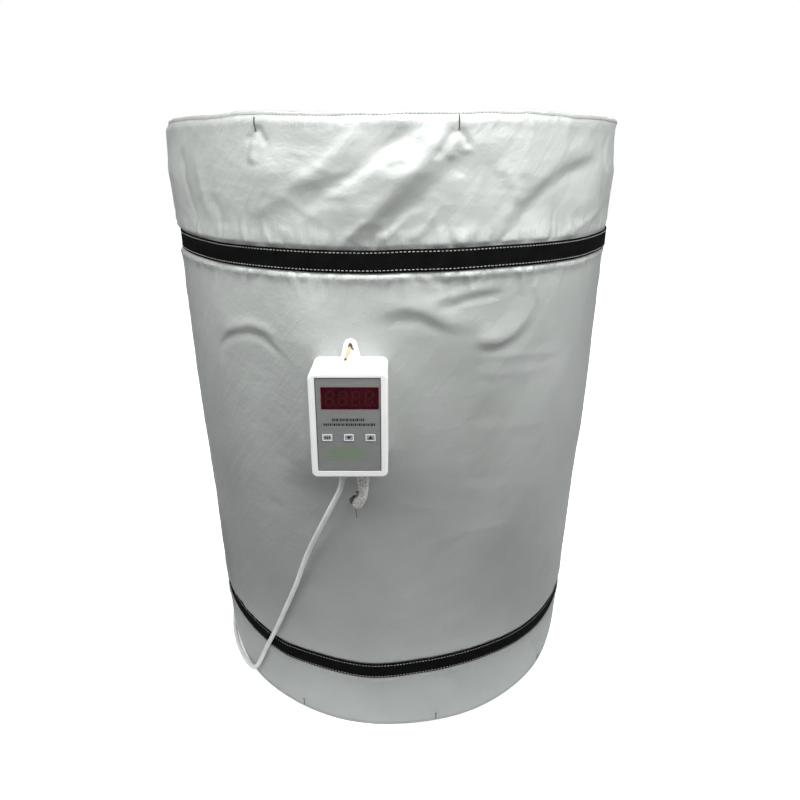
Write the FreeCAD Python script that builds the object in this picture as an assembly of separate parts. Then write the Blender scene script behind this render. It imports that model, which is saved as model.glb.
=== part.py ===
import FreeCAD, Part
import math
import os

V = FreeCAD.Vector
Z_AXIS = V(0, 0, 1)
ORIGIN = V(0, 0, 0)

# Drum heater blanket, in millimetres. The origin is on the axis of the bore at floor
# level, +Z is up and the controller looks along -Y. Angles are measured round the
# axis from -Y towards +X, so the closure is at 180 degrees.

# Blanket body
BORE_RADIUS = 290.0
HEIGHT = 850.0
PANEL_GAP = 6.0
END_WALL = 4.0
HEM_HEIGHT = 6.0
PAD_MARGIN = 24.0
LINING_THICKNESS = 1.0
HEATER_SPACE = 3.0
LEVEL_STEP = 42.0
SECTION_POINTS = 60

# Wall of the blanket over the bore radius, from the bottom edge to the top edge
BOTTOM_EDGE_WALL = 8.0
BOTTOM_ROLL_WALL = 12.4
BOTTOM_ROLL_RISE = 26.0
BELOW_LOWER_STRAP_WALL = 14.4
ABOVE_LOWER_STRAP_WALL = 15.4
MIDDLE_WALLS = (17.4, 18.6, 21.0, 23.4, 25.2, 25.6)
BELOW_UPPER_STRAP_WALL = 25.8
ABOVE_UPPER_STRAP_WALL = 26.4
SHOULDER_WALL = 29.0
SHOULDER_DROP = 62.0
SHOULDER_EDGE_WALL = 27.8
SHOULDER_EDGE_DROP = 34.0
TOP_HEM_WALL = 27.0
TOP_HEM_DROP = 11.0
TOP_EDGE_WALL = 24.0

# Insulation thickness over the heater space, at its bottom edge and top edge
PAD_BOTTOM_COVER = 4.0
PAD_STRAP_COVER = 3.0
PAD_TOP_COVER = 4.6

# Folds of the cover: angle, height, tilt, half length, half width, height of the fold
FOLDS = (
    (-2, 777, 42, 75, 26, 6.0),
    (-24, 790, 62, 55, 24, 4.0),
    (35, 771, 30, 95, 22, -5.5),
    (52, 764, 38, 70, 26, 5.0),
    (18, 792, 40, 60, 24, -3.5),
    (-62, 782, 75, 60, 26, 5.0),
    (-80, 770, 80, 60, 22, -4.5),
    (78, 775, -75, 60, 26, 4.5),
    (112, 770, 50, 75, 26, 5.5),
    (138, 780, -60, 55, 24, -4.5),
    (-112, 775, -48, 75, 26, 5.5),
    (-140, 770, 65, 55, 24, 4.5),
    (-38, 598, 35, 55, 24, 3.0),
    (8, 628, -22, 70, 22, 3.0),
    (26, 606, 40, 50, 22, 2.5),
    (34, 540, 55, 80, 30, -3.0),
    (62, 420, 70, 95, 34, 3.5),
    (-58, 430, -72, 95, 34, 3.0),
    (20, 300, 60, 90, 34, 2.5),
    (-30, 240, -55, 80, 30, 2.5),
    (100, 560, 60, 95, 34, 3.5),
    (-100, 540, -62, 95, 34, 3.5),
    (125, 330, -55, 95, 34, 3.5),
    (-130, 340, 58, 95, 34, 3.5),
    (14, 60, 12, 70, 20, 2.0),
    (-50, 62, -15, 60, 20, -2.0),
    (84, 58, 10, 70, 20, 2.0),
    (-108, 60, -12, 70, 20, 2.0),
)
FOLD_FADE = 26.0

# Straps, their rings and ring tabs
STRAP_WIDTH = 25.0
STRAP_THICKNESS = 1.8
STRAP_SINK = 1.5
STRAP_MARGIN = 6.0
UPPER_STRAP_DROP = 152.0
LOWER_STRAP_RISE = 112.0
STRAP_PLY_GAP = 0.3
RING_WIRE_RADIUS = 1.5
RING_INSIDE_LENGTH = 11.0
RING_SIDE_CLEARANCE = 1.5
TAB_THICKNESS = 1.2
TAB_LENGTH = 26.0
RING_CLEARANCE = 0.4
SEWN_GAP = 0.1

# Closure at the back
FLAP_SEWN_WIDTH = 34.0
FLAP_REACH = 56.0
FLAP_THICKNESS = 2.0
FLAP_EDGE_INSET = 12.0
GRIP_THICKNESS = 1.2
GRIP_WIDTH = 25.0
GRIP_INSET = 6.0

# Heating tape and temperature sensor
TAPE_RUNS = 20
TAPE_WIDTH = 5.0
TAPE_THICKNESS = 2.4
TAPE_EDGE_MARGIN = 46.0
SENSOR_WIDTH = 6.0
SENSOR_LENGTH = 26.0
SENSOR_THICKNESS = 2.6
SENSOR_OFFSET_ANGLE = 8.0

# Controller case
CASE_WIDTH = 86.0
CASE_HEIGHT = 124.5
CASE_DEPTH = 61.0
CASE_X = -49.2
CASE_Z = 526.8
SEAT_WALL = 24.0
CASE_WALL = 2.4
CASE_PANEL = 3.0
CASE_CORNER_RADIUS = 7.0
CASE_EDGE_RADIUS = 2.4
BACK_SHELL_DEPTH = 17.0
SEAT_MARGIN = 70.0
SEAT_PRELOAD = 0.6
LUG_ROOT_WIDTH = 26.0
LUG_TIP_RADIUS = 8.0
LUG_HOLE_RISE = 13.5
LUG_HOLE_RADIUS = 2.6
LUG_THICKNESS = 3.2
TIE_BEND_REACH = 4.0
TIE_END_REACH = 19.4
TIE_DROP = 8.8
TIE_LEAN = 4.2
TIE_BEND_SHARE = 0.42

# Control panel
OVERLAY_SIDE_MARGIN = 7.5
OVERLAY_END_MARGIN = 6.75
OVERLAY_RISE = 1.5
OVERLAY_THICKNESS = 0.5
RECESS_DEPTH = 1.2
PANEL_CLEARANCE = 0.3
WINDOW_LEFT_MARGIN = 6.5
WINDOW_RIGHT_MARGIN = 2.5
WINDOW_TOP_MARGIN = 11.1
WINDOW_HEIGHT = 25.0
WINDOW_FLANGE = 2.5
WINDOW_FLANGE_THICKNESS = 1.2
KEY_WIDTH = 11.0
KEY_HEIGHT = 8.0
KEY_SIDE_MARGIN = 6.2
KEY_RISE = -12.6
KEY_PROUD = 0.7
KEY_FLANGE = 1.6
KEY_FLANGE_THICKNESS = 1.2
KEY_TRAVEL = 0.4
KEY_CLEARANCE = 0.3
KEY_REST_GAP = 0.15

# Electronics inside the case
BOARD_SIDE_MARGIN = 6.0
BOARD_END_MARGIN = 11.0
BOARD_THICKNESS = 1.6
MODULE_SIDE_MARGIN = 6.0
MODULE_END_MARGIN = 3.0
MODULE_DEPTH = 8.0
SWITCH_SIZE = 6.0
SWITCH_BODY_HEIGHT = 3.5
PLUNGER_RISE = 0.8
PLUNGER_RADIUS = 1.75
RELAY_SIZE = (19.0, 15.5, 15.0)
RELAY_DROP = 15.5
RELAY_CLEARANCE = 3.5
TRANSFORMER_SIZE = (32.0, 27.0, 24.0)
TRANSFORMER_DROP = 11.7
TRANSFORMER_CLEARANCE = 1.1
TERMINAL_SIZE = (30.0, 10.0, 12.0)
TERMINAL_DX = -8.0
TERMINAL_RISE = 12.0
TERMINAL_COUNT = 5
BOSS_RADIUS = 3.2
BOSS_INSET = 6.5
BOSS_CLEARANCE = 0.4
BOARD_SCREW_RADIUS = 1.2
BOARD_SCREW_HEAD_RADIUS = 2.4
BOARD_SCREW_HEAD = 1.6
BOARD_SCREW_DEPTH = 6.0
PILLAR_RADIUS = 4.0
PILLAR_INSET = 6.6
CASE_SCREW_RADIUS = 1.6
CASE_SCREW_HEAD_RADIUS = 3.0
CASE_SCREW_HEAD = 2.2
CASE_SCREW_LENGTH = 24.0
SCREW_FIT = 0.05

# Glands, lead and eyelet
GLAND_SETBACK = 26.0
CORD_GLAND_X = -61.0
CORD_GLAND_LENGTH = 20.0
CORD_GLAND_ROOT_RADIUS = 6.4
CORD_GLAND_TIP_RADIUS = 4.4
LEAD_GLAND_X = -36.5
LEAD_GLAND_LENGTH = 4.0
LEAD_GLAND_RADIUS = 8.0
GLAND_NECK_RADIUS = 4.6
GLAND_FLANGE_RADIUS = 7.0
GLAND_FLANGE_THICKNESS = 2.0
LEAD_RADIUS = 4.3
LEAD_ROOT_RADIUS = 7.8
LEAD_TAPER_LENGTH = 20.0
EYELET_ANGLE = -8.5
EYELET_Z = 397.0
EYELET_RADIUS = 10.5
LEAD_BORE_CLEARANCE = 1.1
EYELET_BARREL_WALL = 0.8
EYELET_BARREL_LENGTH = 7.0
EYELET_RIM = 1.6
LEAD_BEND_REACH = 22.0
LEAD_ENTRY_REACH = 10.0
LEAD_SWAY = 0.5
LEAD_SWING_ANGLE = 0.7
LEAD_UPPER_SHARE = 0.36
LEAD_LOWER_SHARE = 0.16

# Stitched tacks at the edges, and the distance of their middles from the nearest edge
TOP_TACK_ANGLES = (-27.8, 12.2)
TOP_TACK_DROP = 13.0
BOTTOM_TACK_ANGLES = (-27.6, 12.4, 54.8)
BOTTOM_TACK_RISE = 12.0
TACK_LENGTH = 12.0
TACK_WIDTH = 1.6
TACK_THICKNESS = 0.8

# Mains cord: route of the free stretch, from the gland to the coil
CORD_RADIUS = 3.4
CORD_ROUTE = (
    (-62.2, -340, 436.6),
    (-67, -338.8, 423),
    (-77.5, -334, 400.5),
    (-92, -321, 366),
    (-106.5, -305.5, 331),
    (-122.5, -293, 290),
    (-136, -284.5, 247),
    (-159.5, -270, 188),
    (-180.5, -253, 134),
    (-196.5, -239.5, 98),
    (-210.5, -224.5, 60),
    (-220.5, -214.5, 35),
    (-228.5, -205.5, 22.5),
    (-236, -194.5, 14),
    (-245.5, -181.5, 8.5),
    (-258.5, -161.5, 5),
    (-276, -130.5, 4),
    (-294, -81.5, 3.7),
    (-304, -26.5, 3.6),
    (-304, 29.5, 3.6),
    (-293.5, 84, 3.6),
    (-273, 136, 3.6),
    (-247, 179.5, 3.7),
    (-217, 219.5, 4.2),
)
COIL_CENTRE = (-228.0, 272.0)
COIL_DIAMETER = 75.0
COIL_LAYERS = 2
COIL_ROWS = 2
COIL_RISE = 1.4
COIL_ENTRY_ANGLE = -40.0
TIE_WIDTH = 12.0
TIE_THICKNESS = 1.2
TIE_ANGLE = 200.0
TAIL_RUN = 13.0

# Route of the tail: runs towards the plug, step aside and share of the climb
TAIL_ROUTE = ((1.2, 0.8, 0.12), (2.3, 0.4, 0.62), (3.3, 0.0, 1.0))

# Plug, lying on its side beyond the coil
PLUG_RADIUS = 18.5
PLUG_FACE_LENGTH = 12.0
PLUG_NECK_RADIUS = 12.5
PLUG_WAIST_FLARE = 1.5
PLUG_SHOULDER_LENGTH = 5.0
PLUG_BODY_LENGTH = 38.0
PLUG_BOOT_LENGTH = 22.0
PLUG_BOOT_TIP_WALL = 1.0
PLUG_BOOT_ROOT_WALL = 3.0
PLUG_NECK_STEP = 1.0
PIN_RADIUS = 2.4
PIN_LENGTH = 19.0
PIN_SPACING = 19.0
PIN_TIP_RADIUS = 1.4

# Heights and radii that follow from the sizes above
UPPER_STRAP_Z = HEIGHT - UPPER_STRAP_DROP
LOWER_STRAP_Z = LOWER_STRAP_RISE
STRAP_ZONE = STRAP_WIDTH / 2 + STRAP_MARGIN
LINING_RADIUS = BORE_RADIUS + LINING_THICKNESS
PAD_RADIUS = LINING_RADIUS + HEATER_SPACE
GRIP_PLY = GRIP_THICKNESS + SEWN_GAP
OUTSIDE = BORE_RADIUS + 2 * SHOULDER_WALL
CASE_SEAT_Y = -(BORE_RADIUS + SEAT_WALL)
CASE_FRONT_Y = CASE_SEAT_Y - CASE_DEPTH
SPLIT_Y = CASE_SEAT_Y - BACK_SHELL_DEPTH
OVERLAY_FLOOR_Y = CASE_FRONT_Y + RECESS_DEPTH
OVERLAY_FRONT_Y = OVERLAY_FLOOR_Y - OVERLAY_THICKNESS
PANEL_BACK_Y = OVERLAY_FLOOR_Y + CASE_PANEL
BOARD_FRONT_Y = PANEL_BACK_Y + WINDOW_FLANGE_THICKNESS + MODULE_DEPTH
BOARD_BACK_Y = BOARD_FRONT_Y + BOARD_THICKNESS
OVERLAY_WIDTH = CASE_WIDTH - 2 * OVERLAY_SIDE_MARGIN
OVERLAY_HEIGHT = CASE_HEIGHT - 2 * OVERLAY_END_MARGIN
BOARD_WIDTH = CASE_WIDTH - 2 * BOARD_SIDE_MARGIN
BOARD_HEIGHT = CASE_HEIGHT - 2 * BOARD_END_MARGIN
TERMINAL_PLACE = (TERMINAL_DX, TERMINAL_RISE - BOARD_HEIGHT / 2)
BOSS_DX = BOARD_WIDTH / 2 - BOSS_INSET
TRANSFORMER_LEFT = BOARD_SCREW_HEAD_RADIUS + TRANSFORMER_CLEARANCE - BOSS_DX
TRANSFORMER_RIGHT = TRANSFORMER_LEFT + TRANSFORMER_SIZE[0]
TRANSFORMER_PLACE = (
    (TRANSFORMER_LEFT + TRANSFORMER_RIGHT) / 2,
    BOARD_HEIGHT / 2 - TRANSFORMER_DROP - TRANSFORMER_SIZE[1] / 2)
RELAY_PLACE = (
    TRANSFORMER_RIGHT + RELAY_CLEARANCE + RELAY_SIZE[0] / 2,
    BOARD_HEIGHT / 2 - RELAY_DROP - RELAY_SIZE[1] / 2)
WINDOW_WIDTH = OVERLAY_WIDTH - WINDOW_LEFT_MARGIN - WINDOW_RIGHT_MARGIN
WINDOW_DX = (WINDOW_LEFT_MARGIN - WINDOW_RIGHT_MARGIN) / 2
WINDOW_RISE = OVERLAY_RISE + OVERLAY_HEIGHT / 2 - WINDOW_TOP_MARGIN - WINDOW_HEIGHT / 2
MODULE_WIDTH = WINDOW_WIDTH - 2 * MODULE_SIDE_MARGIN
MODULE_HEIGHT = WINDOW_HEIGHT - 2 * MODULE_END_MARGIN
KEY_SPACING = OVERLAY_WIDTH / 2 - KEY_SIDE_MARGIN - KEY_WIDTH / 2
GLAND_Y = CASE_SEAT_Y - GLAND_SETBACK
EYELET_BORE_RADIUS = LEAD_RADIUS + LEAD_BORE_CLEARANCE
CASE_BOTTOM_Z = CASE_Z - CASE_HEIGHT / 2
CASE_TOP_Z = CASE_Z + CASE_HEIGHT / 2
LUG_HOLE_Z = CASE_TOP_Z + LUG_HOLE_RISE


def wall_outline():
    """Heights and wall thicknesses of the blanket, from the bottom edge up."""
    low = LOWER_STRAP_Z + STRAP_ZONE
    high = UPPER_STRAP_Z - STRAP_ZONE
    points = [(0.0, BOTTOM_EDGE_WALL), (BOTTOM_ROLL_RISE, BOTTOM_ROLL_WALL)]
    points.append((LOWER_STRAP_Z - STRAP_ZONE, BELOW_LOWER_STRAP_WALL))
    points.append((low, ABOVE_LOWER_STRAP_WALL))
    step = (high - low) / (len(MIDDLE_WALLS) + 1)
    for number, wall in enumerate(MIDDLE_WALLS, 1):
        points.append((low + number * step, wall))
    points.append((high, BELOW_UPPER_STRAP_WALL))
    points.append((UPPER_STRAP_Z + STRAP_ZONE, ABOVE_UPPER_STRAP_WALL))
    points.append((HEIGHT - SHOULDER_DROP, SHOULDER_WALL))
    points.append((HEIGHT - SHOULDER_EDGE_DROP, SHOULDER_EDGE_WALL))
    points.append((HEIGHT - TOP_HEM_DROP, TOP_HEM_WALL))
    points.append((HEIGHT, TOP_EDGE_WALL))
    return points


WALL = wall_outline()


def wall_at(z):
    """Wall thickness of the calm blanket at one height."""
    for (z0, w0), (z1, w1) in zip(WALL, WALL[1:]):
        if z <= z1:
            return w0 + (w1 - w0) * (z - z0) / (z1 - z0)
    return WALL[-1][1]


def levels():
    """Heights of the cover's sections: the wall's corners and even steps between."""
    heights = [0.0]
    for (z0, _), (z1, _) in zip(WALL, WALL[1:]):
        count = max(1, math.ceil((z1 - z0) / LEVEL_STEP))
        heights += [z0 + (z1 - z0) * step / count for step in range(1, count + 1)]
    return heights


def polar(radius, angle, z):
    """Point at a radius and an angle in radians from -Y towards +X."""
    return V(radius * math.sin(angle), -radius * math.cos(angle), z)


def back_angle(arc_length):
    """Angle of a place at the closure, by its arc length from the panel gap."""
    return math.pi - arc_length / (BORE_RADIUS + ABOVE_LOWER_STRAP_WALL)


def rise(distance, width):
    """Smooth step from 0 to 1 over a width."""
    share = min(1.0, max(0.0, distance / width))
    return share * share * (3 - 2 * share)


def seat_share(angle, z):
    """How far the cover is drawn flat behind the controller case, from 0 to 1."""
    x = -CASE_SEAT_Y * math.tan(angle) if abs(angle) < 1.2 else OUTSIDE
    across = abs(x - CASE_X) - CASE_WIDTH / 2
    top = CASE_TOP_Z + LUG_HOLE_RISE + LUG_TIP_RADIUS
    upright = max(CASE_BOTTOM_Z - z, z - top)
    return 1 - rise(math.hypot(max(across, 0.0), max(upright, 0.0)), SEAT_MARGIN)


def calm(angle, z):
    """Share of the folds that a place takes: none at straps, hems, seat and closure."""
    share = rise(z - BOTTOM_ROLL_RISE, FOLD_FADE) * rise(HEIGHT - SHOULDER_EDGE_DROP - z, FOLD_FADE)
    for strap_z in (LOWER_STRAP_Z, UPPER_STRAP_Z):
        share *= rise(abs(z - strap_z) - STRAP_ZONE, FOLD_FADE)
    closure = BORE_RADIUS * (math.pi - abs(angle)) - FLAP_REACH - TAB_LENGTH
    share *= rise(closure, 2 * FOLD_FADE)
    eyelet = math.hypot(BORE_RADIUS * (angle - math.radians(EYELET_ANGLE)), z - EYELET_Z)
    share *= rise(eyelet - 2 * EYELET_RADIUS, FOLD_FADE)
    return share * (1 - seat_share(angle, z))


def fold_at(angle, z):
    """Height of the folds over the calm surface."""
    total = 0.0
    for fold_angle, fold_z, tilt, length, width, height in FOLDS:
        turn = angle - math.radians(fold_angle)
        turn = (turn + math.pi) % (2 * math.pi) - math.pi
        across = (BORE_RADIUS + SHOULDER_WALL) * turn
        cosine = math.cos(math.radians(tilt))
        sine = math.sin(math.radians(tilt))
        along = across * cosine + (z - fold_z) * sine
        aside = (z - fold_z) * cosine - across * sine
        total += height * math.exp(-(along / length) ** 2 - (aside / width) ** 2)
    return total * calm(angle, z)


def cover_radius(angle, z):
    """Outside radius of the cover, with its folds and the flat behind the case."""
    radius = BORE_RADIUS + wall_at(z) + fold_at(angle, z)
    share = seat_share(angle, z)
    if share > 0:
        flat = (SEAT_PRELOAD - CASE_SEAT_Y) / math.cos(angle)
        radius += share * (flat - radius)
    return radius


def turned(profile, start, end):
    """Solid of a (radius, height) outline turned about the axis between two angles."""
    points = [V(radius, 0, z) for radius, z in profile]
    face = Part.Face(Part.makePolygon(points + [points[0]]))
    face.rotate(ORIGIN, Z_AXIS, math.degrees(start) - 90)
    return face.revolve(ORIGIN, Z_AXIS, math.degrees(end - start))


def ring(inner, outer, z0, z1):
    """Round sleeve about the axis."""
    sleeve = Part.makeCylinder(outer, z1 - z0, V(0, 0, z0))
    return sleeve.cut(Part.makeCylinder(inner, z1 - z0, V(0, 0, z0)))


def wall_band(z0, z1, lift0, lift1, start, end):
    """Strip that lies on the calm cover between two heights, lifts and angles."""
    inside = [z for z, _ in WALL if z0 < z < z1]
    heights = [z0] + inside + [z1]
    base = BORE_RADIUS + SEWN_GAP
    outline = [(base + wall_at(z) + lift0, z) for z in heights]
    outline += [(base + wall_at(z) + lift1, z) for z in reversed(heights)]
    return turned(outline, start, end)


def gap_block(side):
    """Block that parts the panels at the closure, this far to each side."""
    depth = OUTSIDE - BORE_RADIUS + 4 * CORD_RADIUS
    return Part.makeBox(2 * side, depth, HEIGHT, V(-side, BORE_RADIUS - 2 * CORD_RADIUS, 0))


def pad_outline():
    """Outside of the insulation as (radius, height) points, from the bottom up."""
    low = LOWER_STRAP_Z + STRAP_ZONE
    high = UPPER_STRAP_Z - STRAP_ZONE
    foot = HEM_HEIGHT + PAD_MARGIN
    head = HEIGHT - foot
    low_seat = seat_radius(LOWER_STRAP_Z)
    high_seat = seat_radius(UPPER_STRAP_Z)
    return [
        (BORE_RADIUS + wall_at(foot) - PAD_BOTTOM_COVER, foot),
        (low_seat - PAD_STRAP_COVER, low),
        (high_seat - PAD_STRAP_COVER, high),
        (min(high_seat - PAD_STRAP_COVER, BORE_RADIUS + wall_at(head) - PAD_TOP_COVER), head),
    ]


def seat_radius(strap_z):
    """Radius of the seat that a strap presses into the cover."""
    lowest = min(wall_at(strap_z - STRAP_WIDTH / 2), wall_at(strap_z + STRAP_WIDTH / 2))
    return BORE_RADIUS + lowest - STRAP_SINK


def slab(width, height, y, depth, radius=0.0, dx=0.0, dz=0.0):
    """Upright slab in the case's frame, centred on the case and running back from y."""
    corner = V(CASE_X + dx - width / 2, y, CASE_Z + dz - height / 2)
    block = Part.makeBox(width, depth, height, corner)
    if radius > 0:
        block = block.makeFillet(radius, [e for e in block.Edges if is_along(e, V(0, 1, 0))])
    return block


def is_along(edge, direction):
    """Whether a straight edge runs along a direction."""
    span = edge.Vertexes[-1].Point - edge.Vertexes[0].Point
    return span.Length > 0 and abs(span.dot(direction)) > 0.999 * span.Length


def peg(radius, y, depth, x, z):
    """Cylinder along Y at a place, running back from y."""
    return Part.makeCylinder(radius, depth, V(x, y, z), V(0, 1, 0))


def upright_turn(profile, x, y, z):
    """Solid of a (radius, drop) outline turned about a vertical axis below z."""
    points = [V(x + radius, y, z - drop) for radius, drop in profile]
    face = Part.Face(Part.makePolygon(points + [points[0]]))
    return face.revolve(V(x, y, z), Z_AXIS, 360)


def rounded_path(points):
    """Straight runs joined by tangent arcs, with the smallest radius of the path."""
    edges = []
    radii = []
    last = points[0]
    for before, corner, after in zip(points, points[1:], points[2:]):
        back = (before - corner).normalize()
        ahead = (after - corner).normalize()
        turn = math.pi - back.getAngle(ahead)
        reach = 0.45 * min((before - corner).Length, (after - corner).Length)
        radius = reach / math.tan(turn / 2)
        start = corner + back * reach
        end = corner + ahead * reach
        middle = (back + ahead).normalize()
        apex = corner + middle * (math.hypot(radius, reach) - radius)
        edges.append(Part.LineSegment(last, start).toShape())
        edges.append(Part.Arc(start, apex, end).toShape())
        radii.append(radius)
        last = end
    edges.append(Part.LineSegment(last, points[-1]).toShape())
    return Part.Wire(edges), radii


def tube(points, radius, name):
    """Round tube along a rounded path; prints its radii, length and volume."""
    path, radii = rounded_path(points)
    heading = points[1] - points[0]
    disc = Part.Wire([Part.makeCircle(radius, points[0], heading)])
    shape = path.makePipeShell([disc], True, False)
    ratio = shape.Volume / (math.pi * radius ** 2 * path.Length)
    print(name, "length", round(path.Length), "volume ratio", round(ratio, 4))
    print(name, "radii", " ".join(str(round(value)) for value in radii))
    return shape, path.Length


def outer_cover():
    """Coated fabric cover: ruled loft through the folded sections, with its hems."""
    sections = []
    for z in levels():
        angles = [2 * math.pi * step / SECTION_POINTS for step in range(SECTION_POINTS)]
        signed = [angle if angle <= math.pi else angle - 2 * math.pi for angle in angles]
        points = [polar(cover_radius(angle, z), angle, z) for angle in signed]
        curve = Part.BSplineCurve()
        curve.interpolate(points, PeriodicFlag=True)
        sections.append(Part.Wire([curve.toShape()]))
    body = Part.makeLoft(sections, True, True)
    body = body.cut(Part.makeCylinder(BORE_RADIUS, HEIGHT))
    pocket = pad_space().cut(gap_block(PANEL_GAP / 2 + END_WALL))
    body = body.cut(pocket).cut(gap_block(PANEL_GAP / 2))
    for strap_z in (LOWER_STRAP_Z, UPPER_STRAP_Z):
        body = body.cut(strap_groove(strap_z))
    room_y = CASE_SEAT_Y - SEAT_MARGIN
    case_room = slab(CASE_WIDTH, CASE_HEIGHT, room_y, SEAT_MARGIN, CASE_CORNER_RADIUS)
    body = body.cut(case_room).cut(lug_outline(room_y, SEAT_MARGIN))
    return body.cut(eyelet_room())


def pad_space():
    """Room between the bore and the cover for lining, heater and insulation."""
    outline = pad_outline()
    foot = HEM_HEIGHT
    head = HEIGHT - HEM_HEIGHT
    points = [(BORE_RADIUS, foot), (PAD_RADIUS, foot), (PAD_RADIUS, outline[0][1])]
    points += outline
    points += [(PAD_RADIUS, outline[-1][1]), (PAD_RADIUS, head), (BORE_RADIUS, head)]
    return turned(points, 0, 2 * math.pi)


def strap_start():
    """Angle where a strap is sewn on, beyond its ring tab."""
    return back_angle(-(FLAP_REACH + TAB_LENGTH + 3 * RING_INSIDE_LENGTH)) - 2 * math.pi


def strap_end():
    """Angle where a strap leaves the cover and climbs over the closure flap."""
    return back_angle(FLAP_SEWN_WIDTH + 2 * GRIP_INSET)


def strap_groove(strap_z):
    """Seat that a strap presses into the cover, from its sewn end up to the flap."""
    inner = seat_radius(strap_z) - SEWN_GAP
    z0 = strap_z - STRAP_WIDTH / 2 - SEWN_GAP
    z1 = strap_z + STRAP_WIDTH / 2 + SEWN_GAP
    end = back_angle(FLAP_SEWN_WIDTH)
    return turned([(inner, z0), (OUTSIDE, z0), (OUTSIDE, z1), (inner, z1)], strap_start(), end)


def inner_lining():
    """Heat-proof lining that lies against the drum."""
    foot = HEM_HEIGHT
    lining = ring(BORE_RADIUS, LINING_RADIUS, foot, HEIGHT - foot)
    return lining.cut(gap_block(PANEL_GAP / 2 + END_WALL))


def insulation_pad():
    """Felt insulation between the heater and the cover."""
    outline = pad_outline()
    points = [(PAD_RADIUS, outline[0][1])] + outline + [(PAD_RADIUS, outline[-1][1])]
    pad = turned(points, 0, 2 * math.pi)
    return pad.cut(gap_block(PANEL_GAP / 2 + END_WALL)).cut(eyelet_room())


def heating_tape():
    """Flat heating tape laid up and down round the lining in one serpentine."""
    inner = LINING_RADIUS + (HEATER_SPACE - TAPE_THICKNESS) / 2
    outer = inner + TAPE_THICKNESS
    z0 = TAPE_EDGE_MARGIN
    z1 = HEIGHT - TAPE_EDGE_MARGIN
    half = TAPE_WIDTH / 2 / BORE_RADIUS
    pitch = 2 * math.pi / TAPE_RUNS
    first = math.radians(EYELET_ANGLE) % pitch - math.pi
    tape = None
    for run in range(TAPE_RUNS):
        angle = first + run * pitch
        if abs(angle) > math.pi - 2 * half - END_WALL / BORE_RADIUS:
            continue
        piece = run_band(inner, outer, z0, z1, angle - half, angle + half)
        tape = piece if tape is None else tape.fuse(piece)
        if run + 1 < TAPE_RUNS:
            base = z0 if run % 2 else z1 - TAPE_WIDTH
            over = angle + pitch - half
            link = run_band(inner, outer, base, base + TAPE_WIDTH, angle + half, over)
            tape = tape.fuse(link)
    return tape.removeSplitter()


def run_band(inner, outer, z0, z1, start, end):
    """Piece of the heating tape between two angles."""
    return turned([(inner, z0), (outer, z0), (outer, z1), (inner, z1)], start, end)


def temperature_sensor():
    """Flat sensor capsule beside the tape run behind the eyelet."""
    inner = LINING_RADIUS + (HEATER_SPACE - SENSOR_THICKNESS) / 2
    angle = math.radians(EYELET_ANGLE + SENSOR_OFFSET_ANGLE)
    half = SENSOR_WIDTH / 2 / BORE_RADIUS
    outer = inner + SENSOR_THICKNESS
    top = EYELET_Z + SENSOR_LENGTH
    return run_band(inner, outer, EYELET_Z, top, angle - half, angle + half)


def local_at(shape, angle):
    """Turn a shape built at -Y to its angle round the axis."""
    copy = shape.copy()
    copy.rotate(ORIGIN, Z_AXIS, math.degrees(angle))
    return copy


def ring_angle():
    """Angle of the middle between a ring's two bars, beyond the flap's edge."""
    return back_angle(-(FLAP_REACH + RING_INSIDE_LENGTH + 2 * RING_WIRE_RADIUS))


def bar_place():
    """Distance of a ring's bars from the ring's middle."""
    return RING_INSIDE_LENGTH / 2 + RING_WIRE_RADIUS


def ring_depth(strap_z):
    """Distance of a ring's wire centre from the axis."""
    deepest = max(wall_at(strap_z - STRAP_WIDTH / 2), wall_at(strap_z + STRAP_WIDTH / 2))
    ply = max(STRAP_THICKNESS, TAB_THICKNESS) + RING_CLEARANCE
    return BORE_RADIUS + deepest + ply + RING_WIRE_RADIUS


def strap_ring(strap_z):
    """Rectangular wire ring that a strap pulls through, flat on the cover."""
    depth = ring_depth(strap_z)
    half_long = bar_place()
    half_wide = STRAP_WIDTH / 2 + RING_SIDE_CLEARANCE + RING_WIRE_RADIUS
    turns = [(-half_long, -half_wide), (half_long, -half_wide)]
    turns += [(half_long, half_wide), (-half_long, half_wide)]
    bars = []
    for (x0, z0), (x1, z1) in zip(turns, turns[1:] + turns[:1]):
        start = V(x0, -depth, strap_z + z0)
        span = V(x1 - x0, 0, z1 - z0)
        bars.append(Part.makeCylinder(RING_WIRE_RADIUS, span.Length, start, span))
        bars.append(Part.makeSphere(RING_WIRE_RADIUS, start))
    wire = bars[0].fuse(bars[1:]).removeSplitter()
    return local_at(wire, ring_angle())


def calm_core():
    """The blanket's calm outer form without folds, for what is sewn onto it."""
    outline = [(BORE_RADIUS + wall + SEWN_GAP, z) for z, wall in WALL]
    return turned([(0, 0)] + outline + [(0, HEIGHT)], 0, 2 * math.pi)


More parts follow.
